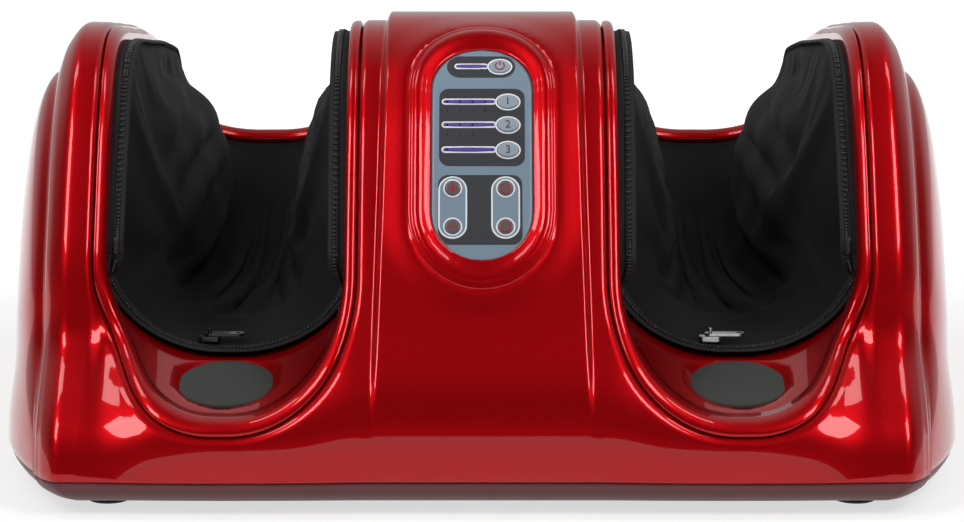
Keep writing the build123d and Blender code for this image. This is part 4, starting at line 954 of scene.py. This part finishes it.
# Printed fields and key strips, as (x, v, width, height, corner)
FIELDS = ((-0.4, 42.0, 30.6, 12.2, 6.1), (0.0, 11.0, 38.0, 38.0, 4.5), (-0.8, -28.3, 37.2, 32.4, 4.5))
KEY_STRIPS = ((-12.9, -27.3, 12.0, 28.3, 6.0), (10.4, -27.3, 12.0, 28.3, 6.0))
PRINT_LIFT = 0.06
LINE_WIDE = 0.75
FILM_MARGIN = 0.9


def film_clip(x, v):
    """Pulls a point in where it would pass the film's round end."""
    limit = OVERLAY_WIDTH / 2 - FILM_MARGIN
    end = max(abs(v) - FILM_STRAIGHT, 0)
    reach = math.hypot(x, end)
    if end > 0 and reach > limit:
        x *= limit / reach
        v = math.copysign(FILM_STRAIGHT + end * limit / reach, v)
    return (x, v)


def print_piece(name, build, material, body="housing"):
    """A piece that lies on the panel and faces the user."""
    mesh = bmesh.new()
    build(mesh)
    made = piece(name, mesh, material, body)
    outward(made, lambda point: PANEL_OUT)
    return made


def printed(shapes, layer):
    """Fills flat shapes on one layer of the print."""
    def build(mesh):
        for shape in shapes:
            add_plate(mesh, shape, box_half, OVERLAY_TOP + layer * PRINT_LIFT, clip=film_clip)

    return build


def lamp_shape(x, v, length):
    return (x, v, length, LAMP_HEIGHT, LAMP_HEIGHT / 2)


def line_rows(width, lift, out=0.0, thick=0.08):
    """The section of a printed line, as (distance out, lift)."""
    half = width / 2
    return [(out - half, lift - thick), (out - half, lift), (out + half, lift), (out + half, lift - thick)]


def white_lines(mesh):
    lift = OVERLAY_TOP + 3 * PRINT_LIFT
    for shape in KEY_STRIPS:
        add_band(mesh, rounded_outline(shape), line_rows(LINE_WIDE, lift), clip=film_clip)
    for window in LAMP_WINDOWS:
        add_band(mesh, rounded_outline(lamp_shape(*window)), line_rows(LINE_WIDE, lift))
    for shape in KEYS.values():
        add_band(mesh, oval_outline(shape), line_rows(LINE_WIDE, lift + 2 * PRINT_LIFT, out=0.6))


def lamps(mesh):
    for window in LAMP_WINDOWS:
        add_plate(mesh, lamp_shape(*window), box_half, OVERLAY_TOP + 2.5 * PRINT_LIFT, dome=0.12)


def lamp_dots(mesh):
    for x, v, _ in LAMP_DOTS:
        add_plate(mesh, (x, v, 1.1, 1.1), oval_half, OVERLAY_TOP + 5 * PRINT_LIFT)


print_piece("film_dark_fields", printed(FIELDS, 1), PRINT_DARK)
print_piece("film_key_strips", printed(KEY_STRIPS, 2), FILM)
print_piece("film_white_lines", white_lines, PRINT_WHITE)
windows = print_piece("lamp_strips", lamps, LAMP)
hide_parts("lamp_windows")
print_piece("lamp_dots", lamp_dots, LAMP_DOT)


def text_mesh(mesh, words, x, v, size, lift):
    """Plain figures laid on the panel."""
    curve = bpy.data.curves.new("figures", "FONT")
    curve.body = words
    curve.size = size
    curve.align_x = curve.align_y = "CENTER"
    curve.extrude = 0.03
    flat = bpy.data.objects.new("figures", curve)
    made = bpy.data.meshes.new_from_object(flat)
    start = len(mesh.verts)
    mesh.from_mesh(made)
    mesh.verts.ensure_lookup_table()
    for vert in mesh.verts[start:]:
        vert.co = panel_point(x + vert.co.x, v + vert.co.y, lift + vert.co.z) * MM
    bpy.data.meshes.remove(made)
    bpy.data.objects.remove(flat)
    bpy.data.curves.remove(curve)


def add_arc(mesh, x, v, radius, width, start, end, lift):
    """Part of a ring on the panel, from one angle to another."""
    def place(angle, row):
        turn = math.radians(angle)
        return panel_point(x + row[0] * math.cos(turn), v + row[0] * math.sin(turn), row[1])

    grid(mesh, steps(start, end, 28), line_rows(width, lift, radius, 0.05), place)


def add_bar(mesh, x, v, width, height, lift):
    grid(mesh, steps(-width / 2, width / 2, 4), steps(-height / 2, height / 2, 4),
         lambda a, b: panel_point(x + a, v + b, lift))


KEY_TOP = 0.55
SIGN_LIFT = 0.16
STROKE = 0.7


def arrow(mesh, x, v, way, lift):
    """A ring arrow that turns one way or the other."""
    add_arc(mesh, x, v, 2.1, STROKE, *((110, 350) if way > 0 else (-160, 70)), lift)
    add_bar(mesh, x + 1.6 * way, v + 1.5, 1.7, STROKE, lift)
    add_bar(mesh, x + 2.1 * way, v + 0.9, STROKE, 1.7, lift)


def key_symbol(name, x, v):
    """A key's figure, power sign, plus, minus or arrow."""
    lift = KEY_TOP + SIGN_LIFT

    def build(mesh):
        if name == "power":
            add_arc(mesh, x, v, 2.0, STROKE, 120, 420, lift)
            add_bar(mesh, x, v + 1.5, STROKE, 2.4, lift)
        elif name.startswith("mode"):
            text_mesh(mesh, name[-1], x, v, 5.2, lift)
        elif name.startswith("speed"):
            add_bar(mesh, x, v, 4.2, 0.9, lift)
            if name.endswith("up"):
                add_bar(mesh, x, v, 0.9, 4.2, lift)
        else:
            arrow(mesh, x, v, -1 if name.endswith("left") else 1, lift)

    return build


def key_mesh(shape):
    """A key's cap: straight sides, a soft edge and a slightly domed top."""
    mesh = bmesh.new()
    points = oval_outline(shape)
    rows = [(1.0, -1.6), (1.0, 0.25), (0.97, 0.42), (0.9, KEY_TOP)]
    rows += [(share, KEY_TOP + 0.12 * (1 - share)) for share in (0.7, 0.5, 0.25, 0.0)]

    def place(i, row):
        x, v = points[i % len(points)]
        return panel_point(mix(shape[0], x, row[0]), mix(shape[1], v, row[0]), row[1])

    grid(mesh, range(len(points) + 1), rows, place)
    return mesh


for name, shape in KEYS.items():
    body = name + "_key"
    film = KEY_DARK if shape[2:] == ROUND_KEY_SIZE else KEY_FILM
    ink = PRINT_DARK if name.startswith("mode") else PRINT_RED
    cap = piece(name + "_cap", key_mesh(shape), film, body)
    outward(cap, lambda point: PANEL_OUT)
    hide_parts(body)
    print_piece(name + "_sign", key_symbol(name, *shape[:2]), ink, body)


def small_figures(mesh):
    """The number under each dot of the first two dotted windows."""
    for x, v, i in LAMP_DOTS[:-1]:
        text_mesh(mesh, str(i + 1), x, v - 4.4, 2.6, OVERLAY_TOP + 2 * PRINT_LIFT)


print_piece("film_figures", small_figures, LAMP_DOT)


# Leg liners and zips

LEG_Y_SHARES = (-1.02, -0.78, -0.62, -0.5, -0.36, -0.22, -0.08, 0.06, 0.2, 0.36, 0.52, 0.68, 0.84, 1.02)
LEG_LOW_SHARES = (0.93, 0.93, 0.9, 0.8, 0.68, 0.56, 0.46, 0.42, 0.37, 0.38, 0.34, 0.36, 0.34, 0.36)
LEG_MIDDLE_SHARES = (0.94, 0.94, 0.93, 0.88, 0.8, 0.74, 0.64, 0.6, 0.53, 0.52, 0.46, 0.46, 0.42, 0.42)
LEG_TOP_SHARES = (0.94, 0.94, 0.94, 0.94, 0.94, 0.93, 0.93, 0.92, 0.91, 0.9, 0.86, 0.82, 0.76, 0.72)
LINER_INSET = 9.6
LINER_SINK = 4.6
LINER_WALL = 3.5
LINER_FRONT_Y = -124.0
REAR_INSET = 1.6
REAR_SINK = 6.5
ZIP_PITCH = 1.5
ZIP_SIDE = 0.965
ZIP_FRONT = 0.028
# The liner's front edge: gap to the wall, lift off the floor, and share of s that is its bottom
FRONT_GAP = 1.2
FRONT_LIFT = 3.4
FRONT_BOTTOM = 0.72

leg_low, leg_middle, leg_top = (cubic_through(LEG_Y_SHARES, shares) for shares in (
    LEG_LOW_SHARES, LEG_MIDDLE_SHARES, LEG_TOP_SHARES))
liner_half = CHAMBER_HALF - LINER_INSET

# The liner's side edges from front to rear, by whether the side is the outer one
SIDE_LINES = {outer: [opening_point(k if outer else LOOP - TURN_STEPS - k, LINER_INSET, LINER_SINK)
                      for k in range(SIDE_STEPS + 1)] for outer in (True, False)}
CORNER_FRONT = 3


def edge_height(y, outer):
    """Height of a side edge at a place along the chamber."""
    line = SIDE_LINES[outer]
    if y <= line[0].y:
        return line[0].z
    for near, far in zip(line, line[1:]):
        if near.y <= y <= far.y:
            return mix(near.z, far.z, (y - near.y) / (far.y - near.y))
    return line[-1].z


def catmull(points, place):
    """A smooth curve through evenly spaced points, for a place from 0 to 1."""
    last = len(points) - 1
    place = min(max(place, 0), 1) * last
    i = min(int(place), last - 1)
    t = place - i
    near = [points[min(max(i + k, 0), last)] for k in (-1, 0, 1, 2)]
    return tuple(0.5 * (2 * b + (c - a) * t + (2 * a - 5 * b + 4 * c - d) * t * t
                        + (3 * b - a - 3 * c + d) * t ** 3) for a, b, c, d in zip(*near))


@lru_cache(maxsize=None)
def liner_section(y_key, outer):
    """Half a cross section of the liner, from its edge under the rim to the middle of its floor."""
    y = y_key / 4
    share = y / HALF_DEPTH
    low, middle, top = (curve(share) * liner_half for curve in (leg_low, leg_middle, leg_top))
    edge_z = edge_height(y, outer)
    floor_z = floor_curve(y) + LINER_WALL
    rise = max(edge_z - floor_z, 4.0)
    top = min(top, liner_half - 0.4)
    return ((liner_half, edge_z), (mix(liner_half, top, 0.8), edge_z - 0.05 * rise),
            (top, edge_z - 0.15 * rise), (mix(top, middle, 0.75), edge_z - 0.3 * rise),
            (middle, edge_z - 0.46 * rise),
            (mix(middle, low, 0.7), edge_z - 0.6 * rise), (low, edge_z - 0.74 * rise),
            (0.93 * low, edge_z - 0.86 * rise), (0.72 * low, edge_z - 0.95 * rise),
            (0.38 * low, edge_z - 0.995 * rise), (0.0, floor_z))


def liner_y(s, w):
    """Where along the chamber a place of the liner is.

    s runs from the inner edge (-1) over the floor (0) to the outer edge (1), and
    w from the front (0) to the rear (1)."""
    outer = s >= 0
    line = SIDE_LINES[outer]
    turn = abs(s)
    front = mix(LINER_FRONT_Y, line[CORNER_FRONT].y, ease(turn ** 1.4))
    rear_middle = opening_point(SIDE_STEPS + TURN_STEPS / 2, REAR_INSET, REAR_SINK).y
    rear = mix(rear_middle, line[-1].y, turn ** 3)
    return mix(front, rear, w)


def front_edge(s):
    """The liner's front edge: a U that follows the platform's rear end and climbs to the rim."""
    y = liner_y(s, 0.0)
    turn = abs(s)
    half = CHAMBER_HALF - mix(FRONT_GAP, LINER_INSET, ease((turn - 0.55) / 0.4))
    corner = CHAMBER_CORNER - FRONT_GAP
    across = half * math.sin(math.pi / 2 * min(turn / FRONT_BOTTOM, 1))
    out = max(across - (CHAMBER_HALF - FRONT_GAP - corner), 0)
    climb = corner - math.sqrt(max(corner ** 2 - out ** 2, 0))
    z = floor_curve(y) + FRONT_LIFT + climb
    if turn > FRONT_BOTTOM:
        z = mix(z, edge_height(y, s >= 0), (turn - FRONT_BOTTOM) / (1 - FRONT_BOTTOM))
    return Vector((CHAMBER_MIDDLE_X + math.copysign(across, s), y, z))


def rear_edge(s):
    """The liner's rear edge hangs inside the rim, a little below it."""
    k = SIDE_STEPS + TURN_STEPS * (1 - (1 + s) / 2)
    share = ease((1 - abs(s)) / 0.4)
    return opening_point(k, mix(LINER_INSET, REAR_INSET, share), mix(LINER_SINK, REAR_SINK, share))


def liner_base(s, w):
    """The padded form without its folds."""
    outer = s >= 0
    y = liner_y(s, w)
    half, z = catmull(liner_section(round(y * 4), outer), 1 - abs(s))
    point = Vector((CHAMBER_MIDDLE_X + math.copysign(half, s), y, z))
    point = front_edge(s).lerp(point, ease(w / 0.16))
    return point.lerp(rear_edge(s), ease((w - 0.86) / 0.14))


# Long folds as (s, w) at both ends, height, half width and bend; a fold is a
# rounded ridge with a sharp valley along its front side.
FOLDS = (
    (0.54, 0.12, 0.80, 0.85, 2.6, 0.034, 0.03), (0.44, 0.07, 0.66, 0.90, 3.0, 0.034, 0.05),
    (0.35, 0.06, 0.52, 0.90, 3.0, 0.030, 0.05), (0.26, 0.05, 0.36, 0.88, 2.6, 0.026, 0.03),
    (0.18, 0.05, 0.00, 0.92, 2.4, 0.032, -0.06), (0.08, 0.05, -0.18, 0.92, 2.2, 0.032, -0.05),
    (-0.34, 0.04, -0.44, 0.80, 3.0, 0.028, 0.02), (-0.50, 0.06, -0.60, 0.90, 2.8, 0.030, 0.02),
    (-0.20, 0.04, -0.30, 0.80, 2.0, 0.030, 0.02), (-0.68, 0.10, -0.80, 0.90, 2.4, 0.032, 0.02),
)


def fold_height(s, w, fold):
    """Height of one fold at a place: zero away from its line, and fading at its ends."""
    s0, w0, s1, w1, height, wide, bend = fold
    run_s, run_w = s1 - s0, w1 - w0
    length = math.hypot(run_s, run_w)
    along = ((s - s0) * run_s + (w - w0) * run_w) / length ** 2
    if not -0.05 < along < 1.05:
        return 0.0
    across = ((s - s0) * run_w - (w - w0) * run_s) / length - bend * 4 * along * (1 - along)
    fade = ease(along / 0.3) * ease((1 - along) / 0.3)
    ridge = math.exp(-(across / wide) ** 2)
    valley = math.exp(-((across + 1.25 * wide) / (0.45 * wide)) ** 2)
    return 1.5 * height * fade * (ridge - 0.6 * valley)


def liner_fold(s, w, seed):
    """Long folds that gather at the front corners, calm where the zip holds the edge."""
    calm = ease((w - 0.035) / 0.08) * ease((1 - w) / 0.06) * ease((0.95 - abs(s)) / 0.08)
    lean = 0.018 * math.sin(5 * s + 4 * w + 3 * seed)
    return calm * clear_of_pull(s, w) * sum(fold_height(s + lean, w, fold) for fold in FOLDS)


LINER_ACROSS = 120
LINER_ALONG = 110


def liner_normal(s, w):
    step = 0.01
    across = liner_base(min(s + step, 1), w) - liner_base(max(s - step, -1), w)
    along = liner_base(s, min(w + step, 1)) - liner_base(s, max(w - step, 0))
    out = across.cross(along)
    if out.length < 1e-6:
        return Vector((0, 0, 1))
    out.normalize()
    middle = Vector((CHAMBER_MIDDLE_X, liner_base(s, w).y, HEIGHT))
    if out.dot(middle - liner_base(s, w)) < 0:
        out.negate()
    return out


def clear_of_pull(s, w):
    """From 0 under the swing of the zip's pull tab to 1 away from it."""
    return max(ease((w - 0.1) / 0.09), ease((abs(s) - 0.32) / 0.14))


def hold(s, w):
    """How firmly the cloth is held at a place: fully along its sewn edges."""
    return 1 - min(clear_of_pull(s, w), ease((w - 0.035) / 0.05), ease((1 - w) / 0.06),
                   ease((0.95 - abs(s)) / 0.06))


def liner_mesh(seed):
    mesh = bmesh.new()
    held = mesh.verts.layers.float.new("held")
    across = steps(-1, 1, LINER_ACROSS)
    along = steps(0, 1, LINER_ALONG)
    made = grid(mesh, across, along,
                lambda s, w: liner_base(s, w) + liner_normal(s, w) * liner_fold(s, w, seed))
    for i, vert in enumerate(made):
        vert[held] = hold(across[i % len(across)], along[i // len(across)])
    return mesh


def settle(made, growth, frames, reach, back):
    """Let the slack cloth fall into soft folds, then keep the mesh it has come to."""
    mesh = made.data
    start = [vert.co.copy() for vert in mesh.vertices]
    faces = [vert.normal.copy() for vert in mesh.vertices]
    group = made.vertex_groups.new(name="sewn")
    for i, held in enumerate(mesh.attributes["held"].data):
        group.add([i], held.value, "REPLACE")
    cloth = made.modifiers.new("cloth", "CLOTH")
    cloth.settings.quality = 5
    cloth.settings.mass = 0.15
    cloth.settings.air_damping = 3.0
    cloth.settings.tension_stiffness = cloth.settings.compression_stiffness = 12.0
    cloth.settings.shear_stiffness = 3.0
    cloth.settings.bending_stiffness = 1.5
    cloth.settings.shrink_min = -growth
    cloth.settings.vertex_group_mass = group.name
    cloth.settings.effector_weights.gravity = 0.15
    cloth.point_cache.frame_start = 1
    cloth.point_cache.frame_end = frames
    for frame in range(1, frames + 1):
        bpy.context.scene.frame_set(frame)
    settled = made.evaluated_get(bpy.context.evaluated_depsgraph_get())
    ends = [vert.co.copy() for vert in settled.to_mesh().vertices]
    settled.to_mesh_clear()
    made.modifiers.remove(cloth)
    made.vertex_groups.remove(group)
    bpy.context.scene.frame_set(1)
    for vert, old, new, face in zip(mesh.vertices, start, ends, faces):
        move = new - old
        inward = move.dot(face)
        move += face * (max(inward, -back * MM) - inward)
        if move.length > reach * MM:
            move *= reach * MM / move.length
        vert.co = old + move
    even = bmesh.new()
    even.from_mesh(mesh)
    held = even.verts.layers.float["held"]
    free = [vert for vert in even.verts if vert[held] < 0.5]
    for _ in range(3):
        bmesh.ops.smooth_vert(even, verts=free, factor=0.5,
                              use_axis_x=True, use_axis_y=True, use_axis_z=True)
    even.to_mesh(mesh)
    even.free()


def square_to(ahead, way):
    """The part of a way that is square to the zip's run."""
    return (way - ahead * way.dot(ahead)).normalized()


def zip_line():
    """Points round the liner's edge, each with the ways ahead, out to the rim and up."""
    spots = [(ZIP_SIDE, w) for w in steps(1, ZIP_FRONT, 300)]
    spots += [(s, ZIP_FRONT) for s in steps(ZIP_SIDE, -ZIP_SIDE, 300)[1:]]
    spots += [(-ZIP_SIDE, w) for w in steps(ZIP_FRONT, 1, 300)[1:]]
    points = [liner_base(s, w) for s, w in spots]
    line, run, due = [], 0.0, 0.0
    for i in range(1, len(points)):
        s, w = spots[i]
        run += (points[i] - points[i - 1]).length
        if run < due:
            continue
        due += ZIP_PITCH
        ahead = (points[min(i + 3, len(points) - 1)] - points[max(i - 3, 0)]).normalized()
        inner = liner_base(s * (1 - 0.04 * (abs(s) == ZIP_SIDE)), w + 0.04 * (w == ZIP_FRONT))
        wall = Vector((math.copysign(1, s), 0, 0))
        share = 1 if abs(s) == ZIP_SIDE else ease((abs(s) - 0.6) / 0.35)
        out = square_to(ahead, (-square_to(ahead, inner - points[i])).lerp(wall, share))
        up = out.cross(ahead)
        if up.dot(liner_normal(s, w)) < 0:
            up.negate()
        line.append((points[i], ahead, out, up.normalized()))
    return line


# The tape's section, as (distance out, lift); on the sides its outer edge reaches to the rim
TAPE_PROFILE = ((-3.4, -0.4), (-3.2, 0.4), (-0.6, 0.6), (1.0, 0.6), (3.2, 0.4), (3.4, -0.4), (-3.4, -0.4))
TAPE_REACH = 8.0


def zip_tape_mesh(line):
    mesh = bmesh.new()

    def place(i, spot):
        point, _, out, up = line[i]
        reach = TAPE_REACH * ease((abs(out.x) - 0.6) / 0.3) * (spot[0] > 3)
        return point + out * (spot[0] + reach) + up * spot[1]

    grid(mesh, range(len(line)), TAPE_PROFILE, place)
    return mesh


def zip_teeth_mesh(line):
    """The closed coil: one small bar after another across the middle of the tape."""
    mesh = bmesh.new()
    for point, ahead, out, up in line:
        made = bmesh.ops.create_cube(mesh, size=1.0)
        for vert in made["verts"]:
            a, b, c = vert.co
            b *= 1.0 - 0.25 * (c > 0)
            spot = point + ahead * (0.85 * a) + out * (3.0 * b) + up * (0.9 + 0.9 * c)
            vert.co = spot * MM
    return mesh


for side, seed in (("right", 0.4), ("left", 2.1)):
    left = side == "left"
    liner = piece(side + "_liner_cloth", liner_mesh(seed), FABRIC, mirrored=left)
    outward(liner, lambda point: Vector((0, 0, 1)))
    settle(liner, growth=0.012, frames=16, reach=6.0, back=2.0)
    thicken(liner, 1.2)
    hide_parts(side + "_leg_liner")
    line = zip_line()
    tape = piece(side + "_zip_tape", zip_tape_mesh(line), ZIP_TAPE, mirrored=left)
    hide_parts(side + "_zip_track")
    piece(side + "_zip_teeth", zip_teeth_mesh(line), ZIP_NYLON, mirrored=left)


# Stage, lights and camera, in metres

def stage_floor():
    """A pale floor that glows only for the camera and in reflections, more so far from the object."""
    mesh = bmesh.new()
    bmesh.ops.create_grid(mesh, x_segments=1, y_segments=1, size=6.0)
    data = bpy.data.meshes.new("floor")
    mesh.to_mesh(data)
    mesh.free()
    floor = linked("floor", data)
    material, tree, place = new_material("pale_studio_floor")
    rays = add(tree, "LightPath").outputs
    seen = rays["Is Camera Ray"]
    for kind in ("Is Glossy Ray", "Is Transmission Ray"):
        seen = add(tree, "Math", {0: seen, 1: rays[kind]}, operation="MAXIMUM").outputs["Value"]
    away = add(tree, "VectorMath", {0: place}, operation="LENGTH")
    level = add(tree, "MapRange", {"Value": away.outputs["Value"], "From Min": 0.3, "From Max": 1.1,
                                   "To Min": 0.66, "To Max": 1.0})
    diffuse = add(tree, "BsdfDiffuse", {"Color": colour("A8A8A8")}).outputs["BSDF"]
    glow = add(tree, "Emission", {"Color": colour("FFFFFF"), "Strength": level.outputs["Result"]})
    bright = add(tree, "AddShader", {0: diffuse, 1: glow.outputs["Emission"]}).outputs["Shader"]
    both = add(tree, "MixShader", {0: seen, 1: diffuse, 2: bright})
    add(tree, "OutputMaterial", {"Surface": both.outputs["Shader"]})
    data.materials.append(material)


def area_light(name, place, target, size, power, seen=True):
    data = bpy.data.lights.new(name, "AREA")
    data.shape = "RECTANGLE"
    data.size, data.size_y = size
    data.energy = power
    lamp = linked(name, data)
    lamp.visible_glossy = seen
    lamp.location = place
    lamp.rotation_euler = (Vector(target) - Vector(place)).to_track_quat("-Z", "Y").to_euler()


def world():
    """Grey behind the object and dark behind the camera, so the lacquer keeps its depth."""
    made = bpy.data.worlds.new("studio")
    bpy.context.scene.world = made
    made.use_nodes = True
    tree = made.node_tree
    tree.nodes.clear()
    way = add(tree, "SeparateXYZ", {"Vector": add(tree, "TexCoord").outputs["Generated"]})
    level = add(tree, "MapRange", {"Value": way.outputs["Y"], "From Min": -0.1, "From Max": 0.7,
                                   "To Min": 0.03, "To Max": 0.5}, interpolation_type="SMOOTHSTEP")
    plain = add(tree, "Background", {"Color": colour("FFFFFF"), "Strength": level.outputs["Result"]})
    add(tree, "OutputWorld", {"Surface": plain.outputs["Background"]})


CAMERA_PLACE = (0.0, -1.4772, 0.3555)
CAMERA_PITCH = 10.745
CAMERA_LENS = 114.0


def camera():
    data = bpy.data.cameras.new("camera")
    data.sensor_width = 36.0
    data.lens = CAMERA_LENS
    data.clip_end = 100.0
    made = linked("camera", data)
    made.location = CAMERA_PLACE
    made.rotation_euler = (math.radians(90 - CAMERA_PITCH), 0.0, 0.0)
    bpy.context.scene.camera = made


stage_floor()
world()
camera()
for name, (x, y, z), (aim_x, aim_y, aim_z), size, power in (
        ("softbox", (1.05, -1.0, 1.3), (0.1, 0, 0.1), (0.55, 0.75), 13),
        ("top_softbox", (0.75, -0.15, 1.5), (0.1, -0.05, 0.1), (0.3, 0.5), 3)):
    for side, way in (("left", -1), ("right", 1)):
        area_light(side + "_" + name, (way * x, y, z), (way * aim_x, aim_y, aim_z), size, power)
area_light("top_fill", (0.0, -0.1, 1.7), (0, -0.05, 0.1), (1.1, 0.5), 2, seen=False)
area_light("front_fill", (0.0, -1.9, 1.0), (0, -0.05, 0.1), (1.4, 0.5), 2, seen=False)

bpy.context.scene.view_settings.view_transform = "Standard"
